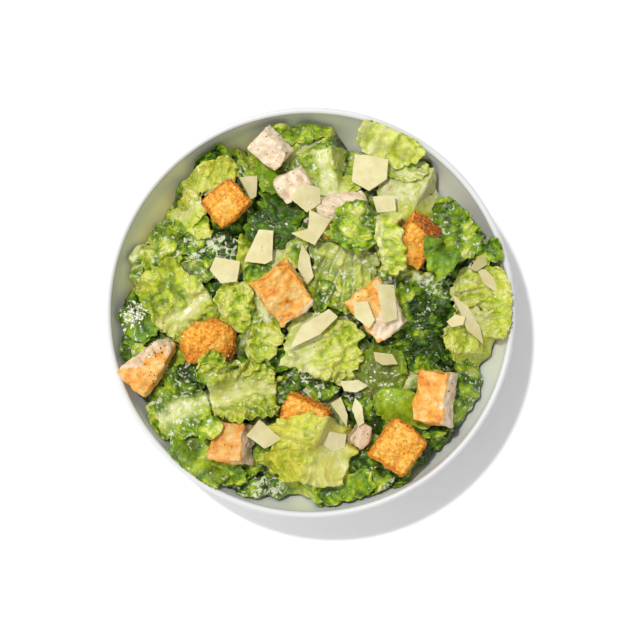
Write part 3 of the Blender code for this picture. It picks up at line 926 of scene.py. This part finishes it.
def kept_in_bowl(leaf, points):
    """Holds a laid leaf inside the bowl's wall, or lays its edge on the rim."""
    radius = np.hypot(points[..., 0], points[..., 1])
    if leaf.rim:
        rise = smoothstep(90 * MM, 99 * MM, radius) * (RIM_HEIGHT + 1.2 * MM - points[..., 2])
        points[..., 2] += np.maximum(rise, 0)
        limit = np.full(radius.shape, leaf.rim * MM)
    else:
        limit = wall_radius(points[..., 2]) - WALL_GAP
    past = np.maximum(radius - (limit - EDGE_SQUEEZE), 0)
    held = radius - past + EDGE_SQUEEZE * (1 - np.exp(-past / EDGE_SQUEEZE))
    points[..., :2] *= (held / np.maximum(radius, MM))[..., None]
    return points


def leaf_shell(points, look, thick):
    """(points, faces, looks) of the closed thin solid under a grid of points."""
    along = np.gradient(points, axis=0)
    across = np.gradient(points, axis=1)
    normal = np.cross(across, along)
    normal /= np.maximum(np.linalg.norm(normal, axis=-1, keepdims=True), 1e-12)
    below = points - normal * thick[..., None]
    rows, columns = points.shape[:2]
    top = np.arange(rows * columns).reshape(rows, columns)
    under = top + rows * columns
    faces = [quads(top), quads(under)[:, [0, 3, 2, 1]]]
    rim = np.concatenate([top[0, :-1], top[:-1, -1], top[-1, :0:-1], top[:0:-1, 0]])
    following = np.roll(rim, -1)
    faces.append(np.stack([rim, rim + rows * columns, following + rows * columns, following], -1))
    paler = look.copy()
    paler[..., 1] = np.clip(paler[..., 1] + 0.12, 0, 1)
    all_points = np.concatenate([points.reshape(-1, 3), below.reshape(-1, 3)])
    return all_points, np.concatenate(faces), np.concatenate([look.reshape(-1, 4), paler.reshape(-1, 4)])


# The leaves that show, each laid on top of those before it, and those that lie over a topping last.
# The first seven numbers are x, y, length, width, yaw, tone and wet.
SHOWN = [
    # far left, against the wall
    Leaf(-87, 3, 22, 16, 80, 0.2, 0.2),
    Leaf(-86, -12, 22, 16, 100, 0.16, 0.3),
    Leaf(-53.6, 79.5, 25, 9, 42, 0.2, 0.1, roll=-25),
    Leaf(-41, 84, 12, 7, 20, 0.25, 0.1),
    Leaf(-69, 63, 26, 13, 52, 0.28, 0.45),
    Leaf(-76.5, 52.5, 13, 10, 60, 0.85, 0.35, warm=0.3, rib=0, rib_width=7, frill=""),
    Leaf(-67.9, 24.5, 24, 17, 55, 0.3, 0.85),
    Leaf(-85, 29, 36, 17, 58, 0.56, 0.65, rib=-0.35, rib_width=4, roll=-22, frill="lr", veined=2),
    Leaf(-73, 35, 40, 21, 80, 0.44, 0.55, warm=0.1, roll=12, ruffle=2.2, cup=-60, slant=3),
    Leaf(-54, 22, 24, 15, 8, 0.5, 0.95, base=0.3),
    Leaf(-46, 39.5, 24, 9, 8, 0.2, 0.25),
    Leaf(-48.5, 32.5, 31, 17, -6, 0.24, 0.85, frill="lrb", roll=16, ruffle=2.2),
    Leaf(-58, 45.5, 17, 13, -60, 0.78, 0.4),
    Leaf(-60.5, 52.5, 17, 13, 38, 0.86, 0.1, warm=0.25, rib=-0.2, rib_width=9, frill="r", quilt=0.3),
    Leaf(-62.3, 61, 19, 10, 66, 0.72, 0.1, warm=1, cup=50),
    Leaf(-50.7, 69.5, 31, 15, 27, 0.86, 0.1, warm=0.5, roll=14, rib=0.9, rib_width=5, cup=-30),
    # far side
    Leaf(20, 85, 27, 12, -14, 0.18, 0.1, ruffle=2),
    Leaf(-31, 74, 14, 11, 80, 0.5, 0.8),
    Leaf(-31.8, 81, 14, 10, 110, 0.74, 0.2, warm=0.35),
    Leaf(-12, 76, 26, 16, 60, 0.4, 0.45, rib=0.3, rib_width=4),
    Leaf(-1, 83, 31, 19, 38, 0.52, 0.6, rib=-0.2, rib_width=3, cup=-30),
    Leaf(-5, 91.5, 37, 14, 8, 0.6, 0.25, roll=-16, ruffle=2.3, warm=0.1),
    Leaf(24, 75, 22, 17, -40, 0.6, 0.5),
    Leaf(11, 71.5, 27, 31, 98, 0.72, 0.4, rib=-0.15, rib_width=11, cup=-45, frill="lr", quilt=0.7),
    Leaf(60.3, 76, 14, 9, -62, 0.22, 0.1),
    Leaf(53.6, 57.5, 36, 34, -78, 0.9, 0.6, base=1.3, frill="t", cup=-25, arch=-15, twist=5, round=0.4,
         quilt=0.15, savoy=0.05, lift=0.9),
    Leaf(44.6, 77, 31, 18, -22, 0.86, 0.7, ruffle=2.4, rib=0.5, rib_width=5, savoy=0.3),
    Leaf(41.5, 86.5, 33, 19, -27, 0.94, 0.25, warm=0.1, ruffle=2.4, cup=-35, savoy=0.25, rim=104, lift=1,
         base=0.5),
    # far middle
    Leaf(-4.3, 45.5, 16, 14, 60, 0.22, 0.6),
    Leaf(-2, 51, 16, 13, 110, 0.2, 0.5),
    Leaf(-12.5, 33.5, 27, 21, 62, 0.76, 0.6, rib=-0.3, rib_width=6, frill="r"),
    Leaf(-32.5, 30.5, 20, 9, 88, 0.8, 0.1, warm=0.35, frill=""),
    Leaf(-27.5, 21, 14, 10, 30, 0.42, 0.2, cup=-40),
    Leaf(-16.5, 50, 36, 27, 62, 0.2, 0.3, cup=-110, slant=0.3, lift=1.5, quilt=0.5, savoy=0.2),
    Leaf(-22, 71, 23, 13, 108, 0.46, 0.12, cup=-100, twist=20, round=0.9, lift=2, pitch=10, quilt=0.4,
         savoy=0.1),
    Leaf(6.5, 33.5, 15, 11, 30, 0.6, 1, base=0.3),
    Leaf(35.5, 25.5, 20, 15, -52, 0.8, 0.4, base=1, frill="", round=0.4),
    Leaf(40.5, 35.5, 36, 13, -84, 0.74, 0.4, rib=-0.7, rib_width=4, cup=-50, ruffle=1.4, quilt=1),
    Leaf(15.5, 17.5, 36, 33, -104, 0.5, 0.7, warm=0.2, base=0.45, frill="lrt", round=0.35, cup=-35, quilt=1.1,
         slant=6, veined=5, savoy=0.4),
    # right
    Leaf(62.5, 24, 27, 19, 70, 0.2, 0.4),
    Leaf(54.5, 11.5, 37, 21, -18, 0.36, 0.95, ruffle=2),
    Leaf(50, 9, 14, 11, 10, 0.55, 0.1, cup=-50, lift=0.5),
    Leaf(75, 24, 29, 19, -24, 0.27, 0.6, ruffle=2),
    Leaf(87.8, 23.5, 11, 6, 25, 0.8, 0.1, warm=0.4, frill=""),
    Leaf(69.4, 54.5, 13, 11, 60, 0.38, 0.15, cup=70),
    Leaf(91.5, 31.5, 22, 16, 20, 0.5, 0.15, cup=60, ruffle=2.6, rim=104),
    Leaf(96.5, -20.5, 18, 9, 80, 0.46, 0.4),
    Leaf(77.5, -21.5, 18, 14, 20, 0.16, 0.2),
    Leaf(58.2, -11, 38, 32, -86, 0.24, 0.28, cup=-45, quilt=1.3, round=0.6, slant=0.4, savoy=0.75),
    Leaf(89, 4, 40, 30, -72, 0.88, 0.3, warm=0.3, rib=0.75, rib_width=4, quilt=1.5, cup=-25, veined=3,
         slant=0.3, rim=104),
    Leaf(83.5, -13, 30, 27, -52, 0.86, 0.2, warm=0.5, rib=-0.75, rib_width=10, quilt=0.7, cup=-40),
    # near right
    Leaf(81.5, -41, 37, 17, 80, 0.42, 0.75, quilt=1, cup=-45, slant=3),
    Leaf(62.8, -57.5, 16, 14, 0, 0.14, 0.1),
    Leaf(26, -46.5, 21, 15, -20, 0.22, 0.65),
    Leaf(35.5, -31, 28, 27, 62, 0.26, 0.35, warm=0.22, cup=-40, quilt=0.4, savoy=0.25),
    Leaf(57.5, -80.5, 38, 14, 52, 0.32, 0.3, roll=-25, cup=30),
    Leaf(48, -48.5, 35, 19, -10, 0.56, 0.3, cup=-70, arch=-60, quilt=0.12, frill="r", ruffle=0.8, savoy=0),
    # near side
    Leaf(28, -83, 31, 20, -32, 0.22, 0.6, ruffle=2),
    Leaf(15.5, -91, 38, 17, 14, 0.52, 0.25, ruffle=2.8, cup=-20, savoy=0.35),
    Leaf(-3.3, -91.5, 17, 14, -70, 0.76, 0.3, ruffle=2),
    Leaf(-26.8, -90.5, 36, 15, 3, 0.3, 1, ruffle=2),
    Leaf(-1.8, -37.5, 37, 17, 2, 0.26, 0.75, ruffle=2.2),
    # near left
    Leaf(-28, -77, 24, 14, 35, 0.52, 0.4, cup=60, ruffle=2),
    Leaf(-22, -70.5, 17, 13, 60, 0.5, 0.4),
    Leaf(-58.5, -76.5, 38, 23, -53, 0.42, 0.3, warm=0.15, frill="rt", ruffle=1.7, cup=-35, quilt=0.6,
         savoy=0.3, rim=102.4),
    Leaf(-43.4, -83.6, 16, 12, -15, 0.62, 0.35, ruffle=2.4),
    Leaf(-78.5, -56, 24, 13, 112, 0.72, 0.3, ruffle=2.2),
    Leaf(-65.3, -50, 27, 30, 25, 0.48, 0.6, rib=0, rib_width=9, quilt=0.6, round=0.5),
    Leaf(-62.5, -32, 27, 19, 0, 0.24, 0.6, ruffle=2),
    Leaf(-67.5, -20, 16, 14, 80, 0.3, 0.1, warm=0.3),
    # left
    Leaf(-93.4, -12, 28, 13, 95, 0.26, 0.75),
    Leaf(-94, -29, 24, 10, 100, 0.26, 0.4),
    Leaf(-83.5, -5.5, 23, 15, 60, 0.38, 0.1, cup=-30, quilt=0.2, savoy=0.1),
    Leaf(-22.5, 2.5, 27, 19, -72, 0.48, 0.7, rib=0.1, rib_width=5, quilt=0.7),
    Leaf(6, 8.5, 18, 9, 80, 0.46, 0.55),
    Leaf(-16, -24, 15, 14, 30, 0.34, 0.6, ruffle=2),
    Leaf(-23.5, -15.5, 22, 19, 58, 0.8, 0.5, warm=0.1),
    Leaf(-38.8, 3.5, 26, 20, 72, 0.82, 0.35, warm=0.1, ruffle=1.8, quilt=0.9),
    Leaf(-67.5, 5.5, 30, 43, 38, 0.6, 0.25, warm=0.35, rib=0.36, rib_width=10, quilt=1.2, cup=-60, frill="lb",
         round=0.6),
    # middle, near
    Leaf(6.5, -17, 31, 38, 76, 0.94, 0.3, warm=0.15, rib=-0.55, rib_width=17, quilt=1.3, frill="rb",
         round=0.5, cup=-30),
    Leaf(-50.5, -59, 15, 12, 20, 0.68, 0.4, ruffle=2.2, over=("chicken_grooved_bottom",)),
    Leaf(-50.5, -27.5, 18, 15, 62, 0.62, 0.35, ruffle=2.2, over=("crouton_round",)),
    Leaf(-34.5, -39.5, 33, 35, 8, 0.72, 0.4, warm=0.45, rib=0.05, rib_width=10, quilt=1.3, frill="lr",
         round=0.3, savoy=0.85, cup=50, over=("chicken_grooved_bottom", "crouton_round")),
    Leaf(0, -69.5, 34, 42, 82, 0.66, 0.06, warm=1, rib=0.55, rib_width=22, quilt=1.1, frill="lb", round=0.6,
         cup=-35, over=("crouton_low_middle",)),
    Leaf(23.5, 43.5, 24, 22, 62, 0.5, 0.5, cup=-50, quilt=1.2, slant=0.4, veined=2,
         over=("chicken_folded_top",)),
    Leaf(75, 43, 36, 20, 112, 0.46, 0.45, cup=-50, ruffle=2.2, slant=0.4, veined=2, savoy=0.4,
         over=("chicken_scrap_high",)),
    Leaf(65.5, 28.5, 22, 14, 130, 0.4, 0.15, cup=-60, quilt=0.3, taper=-0.3, ruffle=1.2, savoy=0.1,
         over=("crouton_upper_right",)),
    Leaf(41, 35.5, 34, 12, -84, 0.78, 0.5, warm=0.1, rib=0.75, rib_width=4, cup=-45, ruffle=1.8, quilt=1,
         savoy=0.4, over=("crouton_upper_right",)),
]

FILLERS = 125
FILLER_SEED = 11
FILLER_REACH = 92  # mm
GOLDEN_TURN = math.radians(137.508)
OVER_SEED = 500


def filler_leaves():
    """Pieces below the ones that show, spread evenly over the heap, and mostly dark, as painted shade in the
    gaps between the leaves that show.
    """
    rng = np.random.default_rng(FILLER_SEED)
    made = []
    for count in range(FILLERS):
        turn = count * GOLDEN_TURN
        radius = FILLER_REACH * math.sqrt((count + 0.5) / FILLERS)
        x = radius * math.cos(turn) + rng.uniform(-4, 4)
        y = radius * math.sin(turn) + rng.uniform(-4, 4)
        edge = float(reach(np.array(x * MM), np.array(y * MM))) / MM - 9
        shrink = min(1, edge / max(math.hypot(x, y), 1))
        made.append(Leaf(
            x * shrink, y * shrink, rng.uniform(20, 34), rng.uniform(14, 22), rng.uniform(0, 360),
            # mostly dark tones: painted shade in the gaps
            tone=rng.choice([0.08, 0.14, 0.2, 0.28, 0.45], p=[0.3, 0.3, 0.2, 0.12, 0.08]),
            wet=rng.uniform(0.0, 0.6), rib=rng.choice([None, 0.0, 0.4]), rib_width=rng.uniform(2, 6),
            ruffle=rng.uniform(1, 2.2), cup=rng.uniform(-60, 40), arch=rng.uniform(-30, 20),
            roll=rng.uniform(-20, 20), frill="lrtb", savoy=0.35))
    return [made[index] for index in rng.permutation(FILLERS)]


LOOSE_TOP = 2.5 * MM  # how far leaves may stand over the plain dome
TENT_GAP = 0.7 * MM
TENT_ROOM = 2.3 * MM  # room for a leaf on the topping that it lies on, whatever else is near


def pile_up():
    """The leaves below the toppings as [(leaf, points, looks, thicknesses)], laid from the core upwards."""
    core_top = np.minimum(ceiling - 2 * MM, edge_ceiling() - CORE_DEPTH)
    core_top = np.minimum(plain_dome(map_radius) - CORE_DEPTH, core_top)
    ground = np.maximum(core_top, wall_map + 0.5 * MM)
    laid = []
    for seed, leaf in enumerate(filler_leaves() + [leaf for leaf in SHOWN if not leaf.over]):
        points, look, thick = leaf_surface(leaf, seed, FILLER_PITCH if seed < FILLERS else LEAF_PITCH)
        laid.append((leaf, lay_down(leaf, points, ground), look, thick))
    inside = smoothstep(99 * MM, 90 * MM, map_radius)
    excess = blurred((ground - plain_dome(map_radius) - LOOSE_TOP) * inside, 60)
    shift = excess / np.maximum(blurred(inside, 60), 0.05)
    by_wall = edge_ceiling()
    for leaf, points, _, _ in laid:
        x, y = points[..., 0], points[..., 1]
        fade = smoothstep(101 * MM, 88 * MM, np.hypot(x, y)) if leaf.rim else 1.0
        points[..., 2] -= look_up(shift, x, y) * fade
        if not leaf.rim:
            press_under(points, by_wall)
        press_under(points, ceiling)
        kept_in_bowl(leaf, points)
    return laid


def heap_of_leaves():
    """Every leaf, with those that lie over a topping on top of the pile."""
    laid = pile_up()
    ground = np.full((MAP_SIDE, MAP_SIDE), FLOOR_HEIGHT)
    for _, points, _, _ in laid:
        stamp(ground, between(points))
    for seed, leaf in enumerate([leaf for leaf in SHOWN if leaf.over], OVER_SEED):
        points, look, thick = leaf_surface(leaf, seed, LEAF_PITCH)
        carried = widened(np.maximum.reduce([topping_top[name] for name in leaf.over]))
        tops = np.maximum(widened(ground), carried)
        lay_down(leaf, points, np.maximum(blurred(tops, 6), tops) + TENT_GAP, TENT)
        others = ceiling_below([name for name in TOPPING_NAMES if name not in leaf.over], STEEP)
        press_under(points, np.minimum(np.maximum(others, carried + TENT_ROOM), HIGHEST_LEAF), MM)
        stamp(ground, between(kept_in_bowl(leaf, points)))
        laid.append((leaf, points, look, thick))
    return laid


LEAF_KINDS = (("romaine_dark", 0.0, 0.34), ("romaine_mid", 0.34, 0.66), ("romaine_light", 0.66, 1.01))


def make_leaves(laid):
    """The leaves joined into one piece for each range of tones."""
    material = leaf_material()
    pieces = []
    for name, low, high in LEAF_KINDS:
        points, faces, looks, savoys, first = [], [], [], [], 0
        for leaf, *surface in laid:
            if not low <= leaf.tone < high:
                continue
            shell = leaf_shell(*surface)
            points.append(shell[0])
            faces.append(shell[1] + first)
            looks.append(shell[2])
            savoys.append(np.full(len(shell[0]), leaf.savoy))
            first += len(shell[0])
        piece = new_object(name, np.concatenate(points), np.concatenate(faces), np.concatenate(looks))
        savoy = piece.data.attributes.new("savoy", "FLOAT", "POINT")
        savoy.data.foreach_set("value", np.concatenate(savoys).astype(np.float32))
        finish_piece(piece, material, "romaine_heap")
        pieces.append(piece)
    return pieces


CORE_TURNS, CORE_RINGS = 96, 30


def make_core():
    """The hidden middle of the heap, under every leaf."""
    angle = np.linspace(0, math.tau, CORE_TURNS, endpoint=False)[:, None]
    edge = reach(np.cos(angle), np.sin(angle)) - 11 * MM
    radius = edge * np.linspace(0.03, 1, CORE_RINGS)[None, :]
    x, y = radius * np.cos(angle), radius * np.sin(angle)
    top = np.minimum(plain_dome(radius) - CORE_DEPTH - 1.5 * MM, look_up(ceiling, x, y) - 6 * MM)
    top = np.minimum(top, look_up(edge_ceiling(), x, y) - CORE_DEPTH - 4 * MM)
    top += 0.8 * MM * fractal(np.stack([x, y, x * 0], -1), 6 * MM, 2, 71)
    floor = np.maximum(wall_height(radius) + 1.2 * MM, 8 * MM)
    top = np.maximum(top, floor + 1 * MM)
    grid = np.concatenate([np.stack([x, y, top], -1), np.stack([x, y, floor], -1)[:, ::-1]], axis=1)
    index = np.arange(CORE_TURNS * 2 * CORE_RINGS).reshape(CORE_TURNS, 2 * CORE_RINGS)
    core = new_object("romaine_core", grid.reshape(-1, 3), quads(np.vstack([index, index[:1]])))
    with edited(core.data) as shape:
        shape.faces.new([shape.verts[i] for i in index[::-1, 0]])
        shape.faces.new([shape.verts[i] for i in index[:, -1]])
        bmesh.ops.triangulate(shape, faces=[face for face in shape.faces if len(face.verts) > 4])
        bmesh.ops.recalc_face_normals(shape, faces=shape.faces)
    core.data.shade_smooth()
    finish_piece(core, core_material(), "romaine_heap")


# ------------------------------------------------------------------ toppings

CROUTON_PITCH = 0.55 * MM
CHICKEN_PITCH = 0.6 * MM
# For each chunk: the side on which it is seared, how much of it is, and how much darker its meat is painted,
# as shade.
SEARING = {
    "chicken_seared_middle": ((-0.45, 0.65, 0.3), 0.62, 0.0),
    "chicken_seared_right": ((-0.75, 0.1, 0.2), 0.1, 0.0),
    "chicken_peppered_left": ((0.35, -0.8, 0.1), 0.25, 0.22),
    "chicken_pale_top": ((0.5, -0.8, -0.6), -0.85, 0.0),
    "chicken_folded_top": ((-0.2, -0.8, -0.6), -0.05, 0.05),
    "chicken_tall_right": ((-0.9, 0.2, 0.35), 0.25, 0.12),
    "chicken_grooved_bottom": ((-0.9, 0.0, 0.2), 0.38, 0.5),
    "chicken_pale_inner": ((0.3, -0.5, -0.6), -0.8, 0.0),
    "chicken_scrap_low": ((0.0, -0.5, -0.6), -0.9, 0.35),
    "chicken_scrap_high": ((0.5, 0.2, 0.2), 0.1, 0.45),
}
# The side on which each crouton is painted darkest, and how dark: partly browner toasting and partly painted
# shade.
DARK_SIDES = {
    "crouton_upper_left": ((-0.3, 0.5, 0.0), 0.10),
    "crouton_upper_right": ((0.6, 0.6, 0.2), 0.75),
    "crouton_low_middle": ((0.8, 0.3, 0.0), 0.45),
    "crouton_big_lower_right": ((0.3, -0.3, -0.2), 0.10),
    "crouton_round": ((0.7, -0.6, -0.2), 0.55),
}


def moulded(node, name, pitch, rounding):
    """(object, points, normals, how convex each point was) of a finely meshed and rounded copy of a node."""
    made = remeshed(node, name, pitch)
    sharp, _ = mesh_arrays(made.data)
    points, normals = relaxed(made.data, rounding)
    convex = np.clip(np.sum((sharp - points) * normals, axis=1) / (0.5 * MM), 0, 1)
    return made, points, normals, convex


def local_place(points):
    low, high = points.min(axis=0), points.max(axis=0)
    return (points - (low + high) / 2) / ((high - low) / 2)


def reshape(made, node, points, normals, heights):
    """Moves the points along their normals by heights in millimetres, within the CAD node's box."""
    low, high = (np.array(corner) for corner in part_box(node))
    points = np.clip(points + normals * (heights * MM)[:, None], low, high)
    set_points(made.data, points)
    return points


def make_crouton(node, material):
    made, points, normals, convex = moulded(node, node.replace("crouton", "crouton_baked"), CROUTON_PITCH, 15)
    is_round = node == "crouton_round"
    way, amount = DARK_SIDES[node]
    coarse = fractal(points, 4.2 * MM, 2, 3)
    if is_round:
        coarse = 1.6 * coarse + 3.6 * np.abs(fractal(points, 8.5 * MM, 1, 4)) - 1.1
    pits = smoothstep(0.25, 0.75, fractal(points, 1.7 * MM, 2, 5))
    grain = fractal(points, 1.3 * MM, 2, 9)
    heights = coarse * 0.62 - pits * 0.6 + grain * 0.25 - 0.2
    points = reshape(made, node, points, normals, heights)
    # Partly painted shade: one side of each crouton is darker.
    deep = smoothstep(0.15, 0.9, normals @ np.array(way) / np.linalg.norm(way)) * amount * 1.4
    toast = 0.30 + 0.04 * is_round + 0.42 * convex + 0.20 * fractal(points, 7 * MM, 2, 12)
    # Painted shade: the sides and underside are darker than the top.
    toast += 0.30 * (1 - normals[:, 2].clip(0, 1))
    set_look(made.data, look_of(toast, pits, deep))
    finish_piece(made, material, node)
    return made


def make_chicken(node, material):
    made, points, normals, convex = moulded(node, node.replace("chicken", "chicken_roast"), CHICKEN_PITCH, 5)
    way, amount, shade = SEARING[node]
    seared = local_place(points) @ np.array(way) + amount + 0.35 * fractal(points, 5 * MM, 3, 21)
    seared = smoothstep(-0.12, 0.30, seared)
    fibre_way = np.array((math.cos(len(node)), math.sin(len(node)), 0.5))
    across = points - np.outer(points @ fibre_way, fibre_way) * 0.62
    fibres = fractal(across, 2.4 * MM, 3, 23) * (1 - seared)
    lumps = fractal(points, 6 * MM, 2, 25)
    crust = fractal(points, 2.0 * MM, 3, 27) * seared
    reshape(made, node, points, normals, fibres * 0.5 + lumps * 0.95 + crust * 0.4 - 0.3)
    # Painted shade: each chunk's own darkening, and more in the grooves between fibres.
    painted_meat_shade = shade + 0.5 * np.clip(-fibres, 0, 1)
    set_look(made.data, look_of(seared, convex * (0.35 + 0.5 * seared), painted_meat_shade))
    finish_piece(made, material, node)
    return made


LONGEST_EDGE = 1.3 * MM


def make_shaving(node, material):
    made = copied(node, node.replace("shaving", "cheese_shaving"))
    with edited(made.data) as shape:
        for _ in range(3):
            bmesh.ops.triangulate(shape, faces=shape.faces)
            long_edges = [edge for edge in shape.edges if edge.calc_length() > LONGEST_EDGE]
            if long_edges:
                bmesh.ops.subdivide_edges(shape, edges=long_edges, cuts=1, use_grid_fill=True)
        bmesh.ops.triangulate(shape, faces=shape.faces)
    points, normals = mesh_arrays(made.data)
    broad = np.abs(normals[:, 2])
    waves = fractal(points, 7 * MM, 2, 41) * 0.22 + fractal(points * (1, 1, 0.2), 1.5 * MM, 2, 43) * 0.10
    reshape(made, node, points, normals, waves)
    made.data.shade_smooth()
    made.data.set_sharp_from_angle(angle=math.radians(50))
    # Shavings named dusky are painted darker, as shade.
    dusky = np.full(len(points), 0.8 if "dusky" in node else 0.0)
    set_look(made.data, look_of(dusky, 1 - broad))
    finish_piece(made, material, node)
    return made


# ------------------------------------------------------------------ crumbs, dressing and pepper

HIGHEST_CRUMB = 87.6 * MM  # keeps crumbs below the top of the CAD box
SCATTER_SEED = 5
CHEESE_PILE = (-91, -1, 3.6)  # x, y and spread of the pile of grated cheese, in mm
PEPPERED = ((-79.5, -17.5, 3.4), (-82, -22, 4.5), (-80, -31.5, 2.4))  # and of the peppery patches


def ball(detail):
    shape = bmesh.new()
    bmesh.ops.create_icosphere(shape, subdivisions=detail, radius=1)
    points = np.array([vertex.co for vertex in shape.verts])
    faces = np.array([[vertex.index for vertex in face.verts] for face in shape.faces])
    shape.free()
    return points, faces


def scattered(name, material, spots, detail, smooth=False, rough=0.35):
    """One piece of many small lumps. spots holds (place, way up, three half sizes, turn) for each."""
    unit, faces = ball(detail)
    all_points, all_faces = [], []
    for index, (place, up, halves, turn) in enumerate(spots):
        shaped = unit * (1 + rough * noise(unit + index * 3.1, 0.9, 51)[:, None]) * np.array(halves)
        spin = up.to_track_quat("Z", "Y").to_matrix() @ Matrix.Rotation(turn, 3, "Z")
        all_points.append(shaped @ np.array(spin).T + np.array(place))
        all_faces.append(faces + index * len(unit))
    piece = new_object(name, np.concatenate(all_points), np.concatenate(all_faces), smooth=smooth)
    finish_piece(piece, material)


def land(tree, x, y):
    """Where a crumb dropped at x, y lands, and which way is up there."""
    place, normal, _, _ = tree.ray_cast(Vector((x, y, HIGH)), Vector((0, 0, -1)))
    if place and normal.z < 0:
        normal = -normal
    return place, normal


STEEPEST = 0.35


def drop(tree, rng, count, spread_of, sizes, thin, sink):
    """Random lumps on the tree. spread_of gives x and y, sizes the range of half sizes in mm."""
    spots = []
    for _ in range(count):
        x, y = spread_of(rng)
        place, normal = land(tree, x, y)
        if place is None or normal.z < STEEPEST or place.z > HIGHEST_CRUMB:
            continue
        half = (sizes[0] + (sizes[1] - sizes[0]) * rng.random() ** 2) * MM
        stretch = rng.uniform(0.7, 1.5)
        halves = (half * stretch, half / stretch, half * thin)
        spots.append((place + normal * half * thin * (1 - sink), normal, halves, rng.uniform(0, math.tau)))
    return spots


def anywhere(rng):
    turn, radius = rng.uniform(0, math.tau), 95 * MM * math.sqrt(rng.random())
    return radius * math.cos(turn), radius * math.sin(turn)


def around(x, y, spread_by):
    return lambda rng: (x * MM + rng.normal(0, spread_by * MM), y * MM + rng.normal(0, spread_by * MM))


def make_scatter(tree, meat_tree, leaf_tree):
    """Crumbs and pepper land on anything, and drops of dressing on the leaves that nothing covers."""
    rng = np.random.default_rng(SCATTER_SEED)
    crumbs = drop(tree, rng, 170, anywhere, (0.2, 0.75), 0.6, 0.3)
    crumbs += drop(tree, rng, 110, around(*CHEESE_PILE), (0.4, 1.2), 0.7, 0.2)
    drops = drop(leaf_tree, rng, 110, anywhere, (0.3, 1.0), 0.2, 0.6)
    bare = [spot for spot in drops if (land(tree, spot[0].x, spot[0].y)[0] - spot[0]).length < 2 * MM]
    toast = drop(tree, rng, 60, anywhere, (0.25, 0.7), 0.7, 0.2)
    pepper = drop(tree, rng, 110, anywhere, (0.15, 0.42), 0.7, 0.3)
    pepper += drop(meat_tree, rng, 900, anywhere, (0.15, 0.45), 0.6, 0.4)
    for spot in PEPPERED:
        pepper += drop(meat_tree, rng, 18, around(*spot), (0.2, 0.6), 0.5, 0.4)
    scattered("cheese_crumbs", crumb_material(), crumbs, 1)
    scattered("dressing_drops", cream_material(), bare, 2, smooth=True, rough=0.5)
    scattered("bread_crumbs", toast_crumb_material(), toast, 1)
    scattered("pepper_specks", pepper_material(), pepper, 1)


# ------------------------------------------------------------------ the object

make_bowl()
leaf_pieces = make_leaves(heap_of_leaves())
make_core()

toppings, meats = [], []
bread, meat, cheese = crouton_material(), chicken_material(), cheese_material()
for node in TOPPING_NAMES:
    if node.startswith("crouton"):
        toppings.append(make_crouton(node, bread))
    elif node.startswith("chicken"):
        meats.append(make_chicken(node, meat))
    else:
        toppings.append(make_shaving(node, cheese))
make_scatter(tree_of([*leaf_pieces, *toppings, *meats]), tree_of(meats), tree_of(leaf_pieces))

# ------------------------------------------------------------------ floor, light and camera

CAMERA_RISE = 2.2  # over the rim
CAMERA_SHIFT = (5.1 * MM, -3.8 * MM)
PICTURE_HALF = 163.36 * MM  # half of what the picture shows at the rim's height
SENSOR = 36.0
SKY_LIGHT = 0.35
SIDE_LIGHT = 0.76  # more sky light from one side
SIDE_WAY = (-0.80, 0.12, 0.59)
SUN_LIGHT = 1.75
SUN_WIDTH = math.radians(2.5)
SUN_WAY = (12.6, -15.0, -62)


def make_floor():
    points = np.array([(-3, -3, 0), (3, -3, 0), (3, 3, 0), (-3, 3, 0)])
    floor = new_object("floor", points, np.array([[0, 1, 2, 3]]), smooth=False)
    shader = Shader("paper_floor", 0.9, Specular_IOR_Level=0.1)
    floor.data.materials.append(shader.finish((0.95, 0.95, 0.95)))


def make_light():
    """A pale sky that is brighter on one side, and a small sun for the shadow."""
    world = bpy.data.worlds.new("studio")
    bpy.context.scene.world = world
    world.use_nodes = True
    nodes, links = world.node_tree.nodes, world.node_tree.links
    background = nodes["Background"]
    background.inputs["Color"].default_value = (1, 1, 1, 1)
    towards = nodes.new("ShaderNodeVectorMath")
    towards.operation = "DOT_PRODUCT"
    towards.inputs[1].default_value = SIDE_WAY
    links.new(nodes.new("ShaderNodeTexCoord").outputs["Generated"], towards.inputs[0])
    glow = nodes.new("ShaderNodeMapRange")
    glow.interpolation_type = "SMOOTHSTEP"
    glow.inputs["To Min"].default_value = SKY_LIGHT
    glow.inputs["To Max"].default_value = SKY_LIGHT + SIDE_LIGHT
    links.new(towards.outputs["Value"], glow.inputs["Value"])
    links.new(glow.outputs["Result"], background.inputs["Strength"])
    sun = bpy.data.lights.new("sun", "SUN")
    sun.energy = SUN_LIGHT
    sun.angle = SUN_WIDTH
    linked("sun", sun).rotation_euler = Vector(SUN_WAY).to_track_quat("-Z", "Y").to_euler()


def make_camera():
    data = bpy.data.cameras.new("camera")
    data.sensor_width = SENSOR
    data.lens = SENSOR * CAMERA_RISE / (2 * PICTURE_HALF)
    data.clip_end = 10
    camera = linked("camera", data)
    camera.location = (*CAMERA_SHIFT, RIM_HEIGHT + CAMERA_RISE)
    bpy.context.scene.camera = camera


make_floor()
make_light()
make_camera()
bpy.context.scene.view_settings.view_transform = "Standard"
